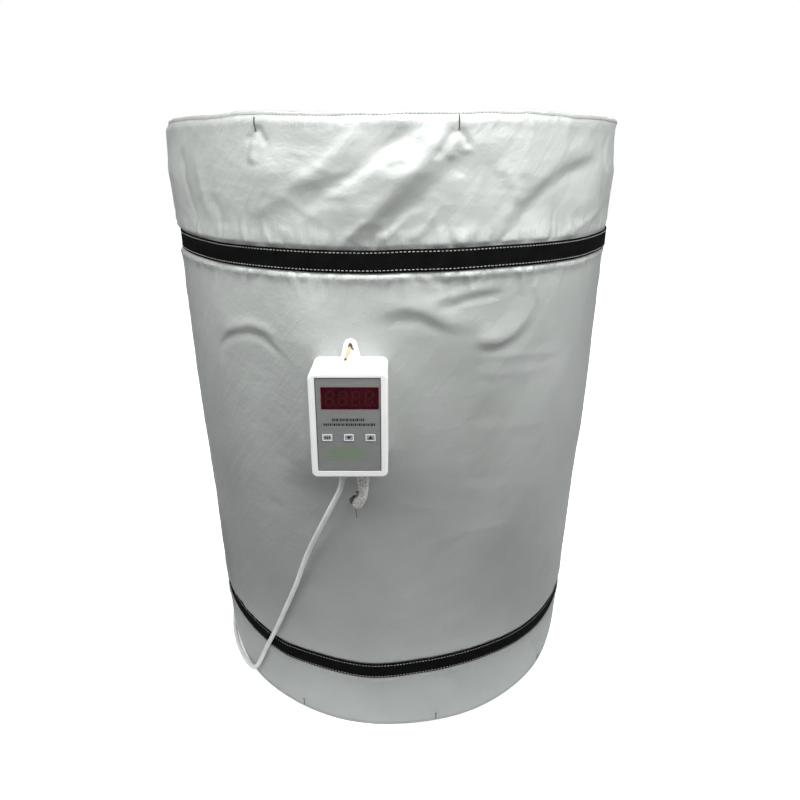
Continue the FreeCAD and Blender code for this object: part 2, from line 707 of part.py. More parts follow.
def ring_tab(strap_z):
    """Sewn tab folded round the far bar of a ring, lying on the cover."""
    depth = ring_depth(strap_z)
    bar = RING_WIRE_RADIUS + RING_CLEARANCE
    outer = bar + TAB_THICKNESS
    surface = -(BORE_RADIUS + wall_at(strap_z))
    far = bar_place()
    foot = strap_z - STRAP_WIDTH / 2
    fold = [
        (far, -depth - outer),
        (far + TAB_LENGTH / 2, surface - 2 * TAB_THICKNESS),
        (far + TAB_LENGTH, surface - TAB_THICKNESS),
        (far + TAB_LENGTH, surface + outer),
        (far, surface + outer),
    ]
    points = [V(x, y, foot) for x, y in fold]
    plies = Part.Face(Part.makePolygon(points + [points[0]])).extrude(V(0, 0, STRAP_WIDTH))
    wrap = Part.makeCylinder(outer, STRAP_WIDTH, V(far, -depth, foot))
    tab = wrap.fuse(plies).cut(Part.makeCylinder(bar, STRAP_WIDTH, V(far, -depth, foot)))
    return local_at(tab, ring_angle()).cut(calm_core()).removeSplitter()


def tail_line(strap_z):
    """Middle line of a strap's tail: over the flap, round the ring's bar and back."""
    half = STRAP_THICKNESS / 2
    surface = ring_depth(strap_z) - RING_WIRE_RADIUS - RING_CLEARANCE - STRAP_THICKNESS
    on_flap = surface + FLAP_THICKNESS + STRAP_PLY_GAP + half
    on_grip = on_flap + 2 * GRIP_PLY
    ply = STRAP_THICKNESS + STRAP_PLY_GAP
    sewn = FLAP_SEWN_WIDTH
    edge = -FLAP_REACH
    under = [
        (back_angle(sewn + 2 * GRIP_INSET), seat_radius(strap_z) + half),
        (back_angle(sewn + STRAP_PLY_GAP), on_flap),
        (back_angle(2 * GRIP_INSET), on_flap),
        (back_angle(-PANEL_GAP), on_grip),
        (back_angle(edge), on_grip),
    ]
    over = [(angle, radius + ply) for angle, radius in reversed(under[1:])]
    path = spread(under)
    turn = RING_WIRE_RADIUS + RING_CLEARANCE + half
    middle = ring_angle()
    for step in range(7):
        swing = math.pi * step / 6
        x = -bar_place() + turn * math.sin(swing)
        radius = ring_depth(strap_z) - turn * math.cos(swing)
        path.append(polar(radius, middle + x / radius, 0))
    return path + spread(over)


def spread(stations):
    """Points along (angle, radius) stations, close enough to follow the round."""
    points = []
    for (a0, r0), (a1, r1) in zip(stations, stations[1:]):
        count = max(1, math.ceil(abs(a1 - a0) * r0 / STRAP_WIDTH))
        for step in range(count):
            share = step / count
            points.append(polar(r0 + (r1 - r0) * share, a0 + (a1 - a0) * share, 0))
    points.append(polar(stations[-1][1], stations[-1][0], 0))
    return points


def strap(strap_z):
    """Webbing strap: seated round the cover, with its tail folded back through the ring."""
    line = tail_line(strap_z)
    half = STRAP_THICKNESS / 2
    left = []
    right = []
    for place, point in enumerate(line):
        before = line[max(place - 1, 0)]
        after = line[min(place + 1, len(line) - 1)]
        heading = (after - before).normalize()
        side = V(-heading.y, heading.x, 0)
        if place == 0:
            side = V(-point.x, -point.y, 0).normalize()
        left.append(point + side * half)
        right.append(point - side * half)
    outline = left + right[::-1]
    tail = Part.Face(Part.makePolygon(outline + [outline[0]])).extrude(V(0, 0, STRAP_WIDTH))
    tail.translate(V(0, 0, strap_z - STRAP_WIDTH / 2))
    inner = seat_radius(strap_z)
    z0 = strap_z - STRAP_WIDTH / 2
    outer = inner + STRAP_THICKNESS
    profile = [(inner, z0), (outer, z0), (outer, z0 + STRAP_WIDTH), (inner, z0 + STRAP_WIDTH)]
    return turned(profile, strap_start(), strap_end()).fuse(tail).removeSplitter()


def closure_flap():
    """Fabric flap sewn to one panel end, stepping up onto the grip strips."""
    z0 = FLAP_EDGE_INSET
    z1 = HEIGHT - SHOULDER_EDGE_DROP
    lift = 2 * GRIP_PLY
    bend = back_angle(-PANEL_GAP)
    fold = back_angle(-PANEL_GAP - FLAP_THICKNESS)
    sewn = wall_band(z0, z1, 0, FLAP_THICKNESS, back_angle(FLAP_SEWN_WIDTH), bend)
    riser = wall_band(z0, z1, 0, lift + FLAP_THICKNESS, bend, fold)
    free = wall_band(z0, z1, lift, lift + FLAP_THICKNESS, fold, back_angle(-FLAP_REACH))
    return sewn.fuse(riser).fuse(free).removeSplitter()


def grip_strip(layer):
    """Hook or loop strip between the flap and the other panel; layer 0 is the lower."""
    z0 = FLAP_EDGE_INSET + GRIP_INSET
    z1 = HEIGHT - SHOULDER_EDGE_DROP - GRIP_INSET
    start = back_angle(-(FLAP_REACH - GRIP_INSET - GRIP_WIDTH))
    end = back_angle(-(FLAP_REACH - GRIP_INSET))
    lift = layer * GRIP_PLY
    return wall_band(z0, z1, lift, lift + GRIP_THICKNESS, start, end)


def tack_stitches():
    """Short bar tacks sewn over the top and bottom edges."""
    half = TACK_WIDTH / 2 / BORE_RADIUS
    tacks = []
    places = [(angle, HEIGHT - TOP_TACK_DROP) for angle in TOP_TACK_ANGLES]
    places += [(angle, BOTTOM_TACK_RISE) for angle in BOTTOM_TACK_ANGLES]
    for angle, middle in places:
        turn = math.radians(angle)
        low = middle - TACK_LENGTH / 2
        tacks.append(wall_band(low, low + TACK_LENGTH, 0, TACK_THICKNESS, turn - half, turn + half))
    return Part.makeCompound(tacks)


def eyelet_room():
    """Room that the eyelet takes in the cover, with the way in for the lead."""
    reach = OUTSIDE - BORE_RADIUS
    flange = eyelet_face()
    room = Part.makeCylinder(EYELET_RADIUS, reach, V(0, -flange - reach, EYELET_Z), V(0, 1, 0))
    barrel = EYELET_BORE_RADIUS + EYELET_BARREL_WALL
    hole = Part.makeCylinder(barrel, 2 * reach, V(0, -flange - reach, EYELET_Z), V(0, 1, 0))
    inside = Part.makeCylinder(PAD_RADIUS, HEIGHT)
    return local_at(room.fuse(hole).cut(inside), math.radians(EYELET_ANGLE))


def eyelet_face():
    """Distance from the axis to the flat that the eyelet's flange lies on."""
    radius = BORE_RADIUS + wall_at(EYELET_Z)
    return math.sqrt(radius ** 2 - EYELET_RADIUS ** 2) - EYELET_RIM / 4


def lead_eyelet():
    """Rolled metal eyelet in the cover where the heater lead goes in."""
    barrel = EYELET_BORE_RADIUS + EYELET_BARREL_WALL
    outline = [
        V(EYELET_BORE_RADIUS, EYELET_BARREL_LENGTH, 0),
        V(EYELET_BORE_RADIUS, -EYELET_RIM / 2, 0),
        V(EYELET_BORE_RADIUS + EYELET_RIM / 2, -EYELET_RIM, 0),
        V(EYELET_RADIUS - EYELET_RIM, -EYELET_RIM, 0),
        V(EYELET_RADIUS, -EYELET_RIM / 4, 0),
        V(EYELET_RADIUS, 0, 0),
        V(barrel, 0, 0),
        V(barrel, EYELET_BARREL_LENGTH, 0),
    ]
    face = Part.Face(Part.makePolygon(outline + [outline[0]]))
    shape = face.revolve(ORIGIN, V(0, 1, 0), 360)
    shape.translate(V(0, -eyelet_face(), EYELET_Z))
    return local_at(shape, math.radians(EYELET_ANGLE))


def sleeved_lead():
    """Glass-sleeved heater lead from the case, wide at its root, into the eyelet."""
    angle = math.radians(EYELET_ANGLE)
    top = CASE_BOTTOM_Z - LEAD_GLAND_LENGTH
    taper = upright_turn(
        [(0, 0), (LEAD_ROOT_RADIUS, 0), (LEAD_RADIUS, LEAD_TAPER_LENGTH), (0, LEAD_TAPER_LENGTH)],
        LEAD_GLAND_X, GLAND_Y, top)
    start = V(LEAD_GLAND_X, GLAND_Y, top - LEAD_TAPER_LENGTH)
    face = eyelet_face()
    drop = start.z - EYELET_Z
    swing = math.radians(EYELET_ANGLE + LEAD_SWING_ANGLE)
    points = [
        start,
        start + V(-LEAD_SWAY, LEAD_SWAY, -drop * LEAD_UPPER_SHARE),
        polar(face + LEAD_BEND_REACH, swing, EYELET_Z + drop * LEAD_LOWER_SHARE),
        polar(face + LEAD_ENTRY_REACH, angle, EYELET_Z),
        polar(PAD_RADIUS, angle, EYELET_Z),
    ]
    lead, _ = tube(points, LEAD_RADIUS, "sleeved_lead")
    return taper.fuse(lead).removeSplitter()


def lead_gland():
    """Round bush in the case's floor where the heater lead comes out."""
    return bush(LEAD_GLAND_X, [(LEAD_GLAND_RADIUS, 0), (LEAD_GLAND_RADIUS, LEAD_GLAND_LENGTH)])


def cord_gland():
    """Moulded cord gland with a tapered boot below the case."""
    return bush(CORD_GLAND_X, [
        (LEAD_GLAND_RADIUS, 0),
        (LEAD_GLAND_RADIUS, GLAND_FLANGE_THICKNESS),
        (CORD_GLAND_ROOT_RADIUS, GLAND_FLANGE_THICKNESS),
        (CORD_GLAND_TIP_RADIUS, CORD_GLAND_LENGTH),
    ])


def bush(x, outside):
    """Solid of a gland: inner flange, neck through the wall and the outside given."""
    inner = -CASE_WALL - GLAND_FLANGE_THICKNESS
    profile = [(0, inner), (GLAND_FLANGE_RADIUS, inner), (GLAND_FLANGE_RADIUS, -CASE_WALL)]
    profile += [(GLAND_NECK_RADIUS, -CASE_WALL), (GLAND_NECK_RADIUS, 0)]
    profile += outside + [(0, outside[-1][1])]
    return upright_turn(profile, x, GLAND_Y, CASE_BOTTOM_Z)


def lug_outline(y, depth):
    """Tapered hanging lug with a round tip, rising from the back of the case."""
    tip = LUG_HOLE_Z
    flat = V(0, depth, 0)
    edges = [
        V(CASE_X - LUG_ROOT_WIDTH / 2, y, CASE_TOP_Z - CASE_CORNER_RADIUS),
        V(CASE_X + LUG_ROOT_WIDTH / 2, y, CASE_TOP_Z - CASE_CORNER_RADIUS),
        V(CASE_X + LUG_TIP_RADIUS, y, tip),
        V(CASE_X - LUG_TIP_RADIUS, y, tip),
    ]
    body = Part.Face(Part.makePolygon(edges + [edges[0]])).extrude(flat)
    return body.fuse(peg(LUG_TIP_RADIUS, y, depth, CASE_X, tip)).removeSplitter()


def corners(width, height, inset):
    """The four (x, z) corner places inside a width and height."""
    x = width / 2 - inset
    z = height / 2 - inset
    return [(CASE_X + sx * x, CASE_Z + sz * z) for sx in (-1, 1) for sz in (-1, 1)]


def boss_places():
    """The (x, z) places of the board's screws: at its foot and just below the window."""
    foot = CASE_Z - BOARD_HEIGHT / 2 + BOSS_INSET
    window_foot = CASE_Z + WINDOW_RISE - WINDOW_HEIGHT / 2 - WINDOW_FLANGE
    head = window_foot - BOSS_RADIUS - BOSS_CLEARANCE
    return [(CASE_X + side * BOSS_DX, z) for side in (-1, 1) for z in (foot, head)]


def controller_case_front():
    """Deep front shell with its recessed panel, screw pillars and board bosses."""
    depth = SPLIT_Y - CASE_FRONT_Y
    shell = slab(CASE_WIDTH, CASE_HEIGHT, CASE_FRONT_Y, depth, CASE_CORNER_RADIUS)
    rim = [e for e in shell.Edges if abs(e.BoundBox.YMax - CASE_FRONT_Y) < 0.01]
    shell = shell.makeFillet(CASE_EDGE_RADIUS, rim)
    inside_width = CASE_WIDTH - 2 * CASE_WALL
    inside_height = CASE_HEIGHT - 2 * CASE_WALL
    inside_depth = SPLIT_Y - PANEL_BACK_Y
    corner = CASE_CORNER_RADIUS - CASE_WALL
    shell = shell.cut(slab(inside_width, inside_height, PANEL_BACK_Y, inside_depth, corner))
    recess_width = OVERLAY_WIDTH + 2 * PANEL_CLEARANCE
    recess_height = OVERLAY_HEIGHT + 2 * PANEL_CLEARANCE
    recess = slab(recess_width, recess_height, CASE_FRONT_Y, RECESS_DEPTH, 0.0, 0.0, OVERLAY_RISE)
    shell = shell.cut(recess)
    shell = shell.cut(panel_openings(OVERLAY_FLOOR_Y, CASE_PANEL))
    for x, z in corners(CASE_WIDTH, CASE_HEIGHT, PILLAR_INSET):
        pillar = peg(PILLAR_RADIUS, PANEL_BACK_Y, inside_depth, x, z)
        shell = shell.fuse(pillar)
    for x, z in boss_places():
        boss = peg(BOSS_RADIUS, PANEL_BACK_Y, BOARD_FRONT_Y - PANEL_BACK_Y, x, z)
        shell = shell.fuse(boss)
    for hole in screw_rooms():
        shell = shell.cut(hole)
    for x in (CORD_GLAND_X, LEAD_GLAND_X):
        below = V(x, GLAND_Y, CASE_BOTTOM_Z - CASE_WALL / 2)
        shell = shell.cut(Part.makeCylinder(GLAND_NECK_RADIUS, 2 * CASE_WALL, below))
    return shell.removeSplitter()


def panel_openings(y, depth):
    """Openings for the display window and the keys through one layer of the panel."""
    width = WINDOW_WIDTH + 2 * PANEL_CLEARANCE
    height = WINDOW_HEIGHT + 2 * PANEL_CLEARANCE
    openings = slab(width, height, y, depth, 0.0, WINDOW_DX, WINDOW_RISE)
    for side in (-1, 0, 1):
        width = KEY_WIDTH + 2 * KEY_CLEARANCE
        height = KEY_HEIGHT + 2 * KEY_CLEARANCE
        openings = openings.fuse(slab(width, height, y, depth, 0.0, side * KEY_SPACING, KEY_RISE))
    return openings


def screw_rooms():
    """Room for the case screws from behind and the board screws into their bosses."""
    rooms = []
    reach = CASE_SCREW_LENGTH + CASE_SCREW_HEAD
    head_y = CASE_SEAT_Y - CASE_SCREW_HEAD
    for x, z in corners(CASE_WIDTH, CASE_HEIGHT, PILLAR_INSET):
        rooms.append(peg(CASE_SCREW_RADIUS + SCREW_FIT, CASE_SEAT_Y - reach, reach, x, z))
        rooms.append(peg(CASE_SCREW_HEAD_RADIUS + SCREW_FIT, head_y, CASE_SCREW_HEAD, x, z))
    for x, z in boss_places():
        depth = BOARD_SCREW_DEPTH + BOARD_THICKNESS
        rooms.append(peg(BOARD_SCREW_RADIUS + SCREW_FIT, BOARD_BACK_Y - depth, depth, x, z))
    return rooms


def controller_case_back():
    """Back shell that lies on the cover, with its corner posts and the hanging lug."""
    shell = slab(CASE_WIDTH, CASE_HEIGHT, SPLIT_Y, BACK_SHELL_DEPTH, CASE_CORNER_RADIUS)
    inside_width = CASE_WIDTH - 2 * CASE_WALL
    inside_height = CASE_HEIGHT - 2 * CASE_WALL
    inside_depth = BACK_SHELL_DEPTH - CASE_WALL
    corner = CASE_CORNER_RADIUS - CASE_WALL
    inside = slab(inside_width, inside_height, SPLIT_Y, inside_depth, corner)
    lug = lug_outline(CASE_SEAT_Y - LUG_THICKNESS, LUG_THICKNESS)
    shell = shell.fuse(lug).cut(inside)
    for x, z in corners(CASE_WIDTH, CASE_HEIGHT, PILLAR_INSET):
        shell = shell.fuse(peg(PILLAR_RADIUS, SPLIT_Y, inside_depth, x, z))
    for hole in screw_rooms():
        shell = shell.cut(hole)
    hole_y = CASE_SEAT_Y - 2 * LUG_THICKNESS
    hole = peg(LUG_HOLE_RADIUS, hole_y, 3 * LUG_THICKNESS, CASE_X, LUG_HOLE_Z)
    return shell.cut(hole).removeSplitter()


def case_screws():
    """Four long screws that close the case from behind."""
    screws = []
    head_y = CASE_SEAT_Y - CASE_SCREW_HEAD
    shank_y = head_y - CASE_SCREW_LENGTH
    for x, z in corners(CASE_WIDTH, CASE_HEIGHT, PILLAR_INSET):
        shank = peg(CASE_SCREW_RADIUS, shank_y, CASE_SCREW_LENGTH, x, z)
        head = peg(CASE_SCREW_HEAD_RADIUS, head_y, CASE_SCREW_HEAD, x, z)
        screws.append(shank.fuse(head))
    return Part.makeCompound(screws)


def board_screws():
    """Four short screws that hold the board on its bosses."""
    screws = []
    for x, z in boss_places():
        shank = peg(BOARD_SCREW_RADIUS, BOARD_BACK_Y - BOARD_SCREW_DEPTH, BOARD_SCREW_DEPTH, x, z)
        head = peg(BOARD_SCREW_HEAD_RADIUS, BOARD_BACK_Y, BOARD_SCREW_HEAD, x, z)
        screws.append(shank.fuse(head))
    return Part.makeCompound(screws)


def control_overlay():
    """Thin printed panel in the front recess, cut out for the window and the keys."""
    sheet = slab(
        OVERLAY_WIDTH, OVERLAY_HEIGHT, OVERLAY_FRONT_Y, OVERLAY_THICKNESS, 0.0, 0.0, OVERLAY_RISE)
    return sheet.cut(panel_openings(OVERLAY_FRONT_Y, OVERLAY_THICKNESS))


def display_window():
    """Dark red filter window with a flange behind the panel."""
    depth = PANEL_BACK_Y - OVERLAY_FRONT_Y
    pane = slab(
        WINDOW_WIDTH, WINDOW_HEIGHT, OVERLAY_FRONT_Y, depth, 0.0, WINDOW_DX, WINDOW_RISE)
    width = WINDOW_WIDTH + 2 * WINDOW_FLANGE
    height = WINDOW_HEIGHT + 2 * WINDOW_FLANGE
    flange = slab(
        width, height, PANEL_BACK_Y, WINDOW_FLANGE_THICKNESS, 0.0, WINDOW_DX, WINDOW_RISE)
    return pane.fuse(flange).removeSplitter()


def display_module():
    """Light-emitting digit module between the window and the board."""
    y = BOARD_FRONT_Y - MODULE_DEPTH
    return slab(MODULE_WIDTH, MODULE_HEIGHT, y, MODULE_DEPTH, 0.0, WINDOW_DX, WINDOW_RISE)


def circuit_board():
    """Printed board on the four bosses, with its screw holes."""
    board = slab(BOARD_WIDTH, BOARD_HEIGHT, BOARD_FRONT_Y, BOARD_THICKNESS)
    for x, z in boss_places():
        board = board.cut(peg(BOARD_SCREW_RADIUS + SCREW_FIT, BOARD_FRONT_Y, BOARD_THICKNESS, x, z))
    return board


def behind_board(size, place):
    """Component block on the back of the board, at a place from the board's middle."""
    width, height, depth = size
    return slab(width, height, BOARD_BACK_Y, depth, 0.0, place[0], place[1])


def terminal_block():
    """Screw terminal row over the glands, with its clamp screws sunk in."""
    block = behind_board(TERMINAL_SIZE, TERMINAL_PLACE)
    pitch = TERMINAL_SIZE[0] / TERMINAL_COUNT
    top = BOARD_BACK_Y + TERMINAL_SIZE[2] - BOARD_SCREW_HEAD
    z = CASE_Z + TERMINAL_PLACE[1]
    for number in range(TERMINAL_COUNT):
        x = CASE_X + TERMINAL_PLACE[0] + (number - (TERMINAL_COUNT - 1) / 2) * pitch
        block = block.cut(peg(BOARD_SCREW_HEAD_RADIUS, top, BOARD_SCREW_HEAD, x, z))
    return block


def key(side):
    """Push key: cap through the panel, flange behind it and a stem to its switch."""
    dx = side * KEY_SPACING
    front = OVERLAY_FRONT_Y - KEY_PROUD
    flange_y = PANEL_BACK_Y + KEY_REST_GAP
    cap = slab(KEY_WIDTH, KEY_HEIGHT, front, flange_y - front, 0.0, dx, KEY_RISE)
    width = KEY_WIDTH + 2 * KEY_FLANGE
    height = KEY_HEIGHT + 2 * KEY_FLANGE
    flange = slab(width, height, flange_y, KEY_FLANGE_THICKNESS, 0.0, dx, KEY_RISE)
    end = plunger_y() - KEY_TRAVEL - KEY_REST_GAP
    stem_y = flange_y + KEY_FLANGE_THICKNESS
    stem = peg(PLUNGER_RADIUS, stem_y, end - stem_y, CASE_X + dx, CASE_Z + KEY_RISE)
    return cap.fuse(flange).fuse(stem).removeSplitter()


def plunger_y():
    """Front of the switches' plungers."""
    return BOARD_FRONT_Y - SWITCH_BODY_HEIGHT - PLUNGER_RISE


def key_switches():
    """Three push switches on the board behind the keys."""
    switches = []
    front = BOARD_FRONT_Y - SWITCH_BODY_HEIGHT
    reach = BOARD_FRONT_Y - plunger_y()
    for side in (-1, 0, 1):
        dx = side * KEY_SPACING
        body = slab(SWITCH_SIZE, SWITCH_SIZE, front, SWITCH_BODY_HEIGHT, 0.0, dx, KEY_RISE)
        plunger = peg(PLUNGER_RADIUS, plunger_y(), reach, CASE_X + dx, CASE_Z + KEY_RISE)
        switches.append(body.fuse(plunger))
    return Part.makeCompound(switches)


def lug_tie():
    """Sleeved wire tie: out of the cover through the lug's hole, then forwards and down."""
    radius = LUG_HOLE_RADIUS - PANEL_CLEARANCE
    corner = CASE_SEAT_Y - LUG_THICKNESS - TIE_BEND_REACH
    fall = V(-TIE_LEAN, 0, -TIE_DROP)
    points = [
        V(CASE_X, CASE_SEAT_Y, LUG_HOLE_Z),
        V(CASE_X, corner, LUG_HOLE_Z),
        V(CASE_X, corner - TIE_END_REACH / 2, LUG_HOLE_Z) + fall * TIE_BEND_SHARE,
        V(CASE_X, corner - TIE_END_REACH, LUG_HOLE_Z) + fall,
    ]
    tie, _ = tube(points, radius, "lug_tie")
    return tie


def coil_radius():
    """Radius of the middle of the coil's turns."""
    return COIL_DIAMETER / 2


def coil_section(grow, sweep):
    """Solid of the coil's section, grown all round, swept by an angle about its axis."""
    half = COIL_ROWS * CORD_RADIUS + grow
    low = COIL_RISE - grow
    high = COIL_RISE + COIL_LAYERS * 2 * CORD_RADIUS + grow
    inner = coil_radius() - half
    outer = coil_radius() + half
    bevel = CORD_RADIUS
    profile = [(inner + bevel, low), (outer - bevel, low)]
    profile += [(outer, low + bevel), (outer, high - bevel)]
    profile += [(outer - bevel, high), (inner + bevel, high)]
    profile += [(inner, high - bevel), (inner, low + bevel)]
    points = [V(radius, 0, z) for radius, z in profile]
    face = Part.Face(Part.makePolygon(points + [points[0]]))
    return face.revolve(ORIGIN, Z_AXIS, sweep)


def mains_cord_coil():
    """Outer form of the put-away coil."""
    coil = coil_section(0, 360)
    coil.translate(V(*COIL_CENTRE, 0))
    return coil


def coil_place(angle, radius, z):
    """Point beside the coil's middle at an angle from +X."""
    turn = math.radians(angle)
    return V(COIL_CENTRE[0] + radius * math.cos(turn), COIL_CENTRE[1] + radius * math.sin(turn), z)


def mains_cord():
    """Free stretch of the mains cord, from the gland to the side of the coil."""
    start = V(CORD_GLAND_X, GLAND_Y, CASE_BOTTOM_Z - CORD_GLAND_LENGTH)
    outer = coil_radius() + (COIL_ROWS - 1) * CORD_RADIUS
    end = coil_place(COIL_ENTRY_ANGLE, outer, COIL_RISE + CORD_RADIUS)
    route = [start] + [V(*point) for point in CORD_ROUTE] + [end]
    cord, length = tube(route, CORD_RADIUS, "mains_cord")
    turns = 2 * math.pi * coil_radius() * COIL_LAYERS * COIL_ROWS
    print("cord in all", round(length + turns + 5 * TAIL_RUN))
    return cord.cut(mains_cord_coil()).cut(cord_gland())


def plug_back():
    """Place where the cord enters the plug's boot."""
    return V(COIL_CENTRE[0] - 4 * TAIL_RUN, COIL_CENTRE[1] + tail_side(), PLUG_RADIUS)


def tail_side():
    """Distance of the tail from the coil's middle."""
    return coil_radius() + (COIL_ROWS - 1) * CORD_RADIUS


def mains_cord_tail():
    """Short stretch of cord from the top of the coil to the plug."""
    top = COIL_RISE + (2 * COIL_LAYERS - 1) * CORD_RADIUS
    end = plug_back()
    start = V(COIL_CENTRE[0], end.y, top)
    climb = end.z - top
    steps = [V(-TAIL_RUN * run, aside, climb * share) for run, aside, share in TAIL_ROUTE]
    points = [start] + [start + step for step in steps] + [end]
    tail, _ = tube(points, CORD_RADIUS, "mains_cord_tail")
    return tail.cut(mains_cord_coil())


def cord_tie():
    """Narrow band that holds the turns of the coil together."""
    band = coil_section(TIE_THICKNESS, math.degrees(TIE_WIDTH / coil_radius()))
    band.rotate(ORIGIN, Z_AXIS, TIE_ANGLE)
    band.translate(V(*COIL_CENTRE, 0))
    return band.cut(mains_cord_coil())


def plug_body():
    """Round moulded plug on its side, with a waisted grip and a tapered boot."""
    start = plug_back()
    length = PLUG_BOOT_LENGTH + PLUG_BODY_LENGTH
    outline = [
        V(0, 0, 0),
        V(0, CORD_RADIUS + PLUG_BOOT_TIP_WALL, 0),
        V(-PLUG_BOOT_LENGTH, CORD_RADIUS + PLUG_BOOT_ROOT_WALL, 0),
        V(-PLUG_BOOT_LENGTH - PLUG_NECK_STEP, PLUG_NECK_RADIUS, 0),
        V(-length + PLUG_FACE_LENGTH + PLUG_SHOULDER_LENGTH, PLUG_NECK_RADIUS + PLUG_WAIST_FLARE, 0),
        V(-length + PLUG_FACE_LENGTH, PLUG_RADIUS, 0),
        V(-length, PLUG_RADIUS, 0),
        V(-length, 0, 0),
    ]
    face = Part.Face(Part.makePolygon(outline + [outline[0]]))
    body = face.revolve(ORIGIN, V(1, 0, 0), 360)
    body.translate(start)
    return body


def plug_pins():
    """Two round pins in the plug's face."""
    start = plug_back() - V(PLUG_BOOT_LENGTH + PLUG_BODY_LENGTH, 0, 0)
    pins = []
    for side in (-1, 1):
        base = start + V(0, side * PIN_SPACING / 2, 0)
        pin = Part.makeCylinder(PIN_RADIUS, PIN_LENGTH, base, V(-1, 0, 0))
        tip = [e for e in pin.Edges if e.BoundBox.XMax < base.x - PIN_LENGTH + 0.01]
        pins.append(pin.makeFillet(PIN_TIP_RADIUS, tip))
    return Part.makeCompound(pins)


NODES = {
    "outer_cover": outer_cover(),
    "inner_lining": inner_lining(),
    "insulation_pad": insulation_pad(),
    "heating_tape": heating_tape(),
    "temperature_sensor": temperature_sensor(),
    "upper_strap": strap(UPPER_STRAP_Z),
    "lower_strap": strap(LOWER_STRAP_Z),
    "upper_strap_ring": strap_ring(UPPER_STRAP_Z),
    "lower_strap_ring": strap_ring(LOWER_STRAP_Z),
    "upper_ring_tab": ring_tab(UPPER_STRAP_Z),
    "lower_ring_tab": ring_tab(LOWER_STRAP_Z),
    "closure_flap": closure_flap(),
    "panel_loop_strip": grip_strip(0),
    "flap_hook_strip": grip_strip(1),
    "tack_stitches": tack_stitches(),
    "lead_eyelet": lead_eyelet(),
    "sleeved_lead": sleeved_lead(),
    "lead_gland": lead_gland(),
    "cord_gland": cord_gland(),
    "controller_case_front": controller_case_front(),
    "controller_case_back": controller_case_back(),
    "case_screws": case_screws(),
    "board_screws": board_screws(),
    "control_overlay": control_overlay(),
    "display_window": display_window(),
    "display_module": display_module(),
    "circuit_board": circuit_board(),
    "relay": behind_board(RELAY_SIZE, RELAY_PLACE),
    "power_transformer": behind_board(TRANSFORMER_SIZE, TRANSFORMER_PLACE),
    "terminal_block": terminal_block(),
    "set_key": key(-1),
    "down_key": key(0),
    "up_key": key(1),
    "key_switches": key_switches(),
    "lug_tie": lug_tie(),
    "mains_cord": mains_cord(),
    "mains_cord_coil": mains_cord_coil(),
    "mains_cord_tail": mains_cord_tail(),
    "cord_tie": cord_tie(),
    "plug_body": plug_body(),
    "plug_pins": plug_pins(),
}

os.makedirs("parts", exist_ok=True)
for name, shape in NODES.items():
    shape.exportStep("parts/" + name + ".step")
    print(name, "valid", shape.isValid(), "solids", len(shape.Solids), "mm3", round(shape.Volume))
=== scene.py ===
import bmesh
import bpy
import math
import numpy as np
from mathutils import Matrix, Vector
from mathutils.bvhtree import BVHTree


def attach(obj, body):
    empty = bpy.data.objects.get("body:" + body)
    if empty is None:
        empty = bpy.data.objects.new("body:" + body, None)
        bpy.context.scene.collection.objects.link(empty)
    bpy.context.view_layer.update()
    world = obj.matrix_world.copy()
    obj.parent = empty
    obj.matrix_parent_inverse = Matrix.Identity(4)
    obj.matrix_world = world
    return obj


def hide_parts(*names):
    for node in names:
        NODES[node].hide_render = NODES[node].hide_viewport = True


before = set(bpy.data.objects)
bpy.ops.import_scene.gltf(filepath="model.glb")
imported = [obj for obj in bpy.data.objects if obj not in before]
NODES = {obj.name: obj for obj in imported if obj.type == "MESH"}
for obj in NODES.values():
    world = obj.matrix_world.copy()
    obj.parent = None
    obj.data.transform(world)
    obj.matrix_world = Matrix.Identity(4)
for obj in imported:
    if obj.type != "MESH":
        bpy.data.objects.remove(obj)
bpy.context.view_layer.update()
MM = 0.001

# Places that the pieces below share with the model, in millimetres
BORE = 290.0
HEIGHT = 850.0
GAP_HALF = 3.4
SHELF = BORE + 15.4
MEAN_RADIUS = 308.0
STRAP_HALF = 12.5
STRAP_Z = {"upper": 698.0, "lower": 112.0}
SEAT_RADIUS = {"upper": 314.397, "lower": 303.062}
CASE_X, CASE_Z = -49.2, 526.8
PANEL_RISE = 1.5
PANE_BOX = (-29.0, 20.9, 33.0, 45.9)
KEY_STEP, KEY_RISE = 23.8, -12.6
OVERLAY_Y = -374.3
EYELET = (math.radians(-8.5), 397.0)


# Small helpers

def polar(radius, angle, z):
    """Point in metres from millimetres and an angle from -Y towards +X."""
    return (radius * math.sin(angle) * MM, -radius * math.cos(angle) * MM, z * MM)


def polar_grid(radius, angle, z):
    """The same for arrays, where radius and z may be one number."""
    parts = np.broadcast_arrays(radius * np.sin(angle), -radius * np.cos(angle), z)
    return np.stack(parts, -1) * MM


def between(points, x):
    """Value at x between (place, value) points."""
    return np.interp(x, *zip(*points))


def unit(vectors):
    return vectors / np.maximum(np.linalg.norm(vectors, axis=-1, keepdims=True), 1e-9)


def run_along(points):
    """Length of a line of points up to each of them."""
    return np.concatenate([[0], np.cumsum(np.linalg.norm(np.diff(points, axis=0), axis=1))])


def place_at(run, values, s):
    """Values along a line at one or more lengths of its run."""
    return np.stack([np.interp(s, run, values[:, k]) for k in range(3)], -1)


def add_object(name, data):
    obj = bpy.data.objects.new(name, data)
    bpy.context.scene.collection.objects.link(obj)
    return obj


def new_mesh(name, verts, faces, material, smooth=True, body="root"):
    """Mesh object in the frame that rides on a body."""
    data = bpy.data.meshes.new(name)
    data.from_pydata([tuple(v) for v in verts], [], [tuple(f) for f in faces])
    data.validate()
    data.update()
    if smooth:
        data.shade_smooth()
    data.materials.append(material)
    obj = add_object(name, data)
    if body:
        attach(obj, body)
    return obj


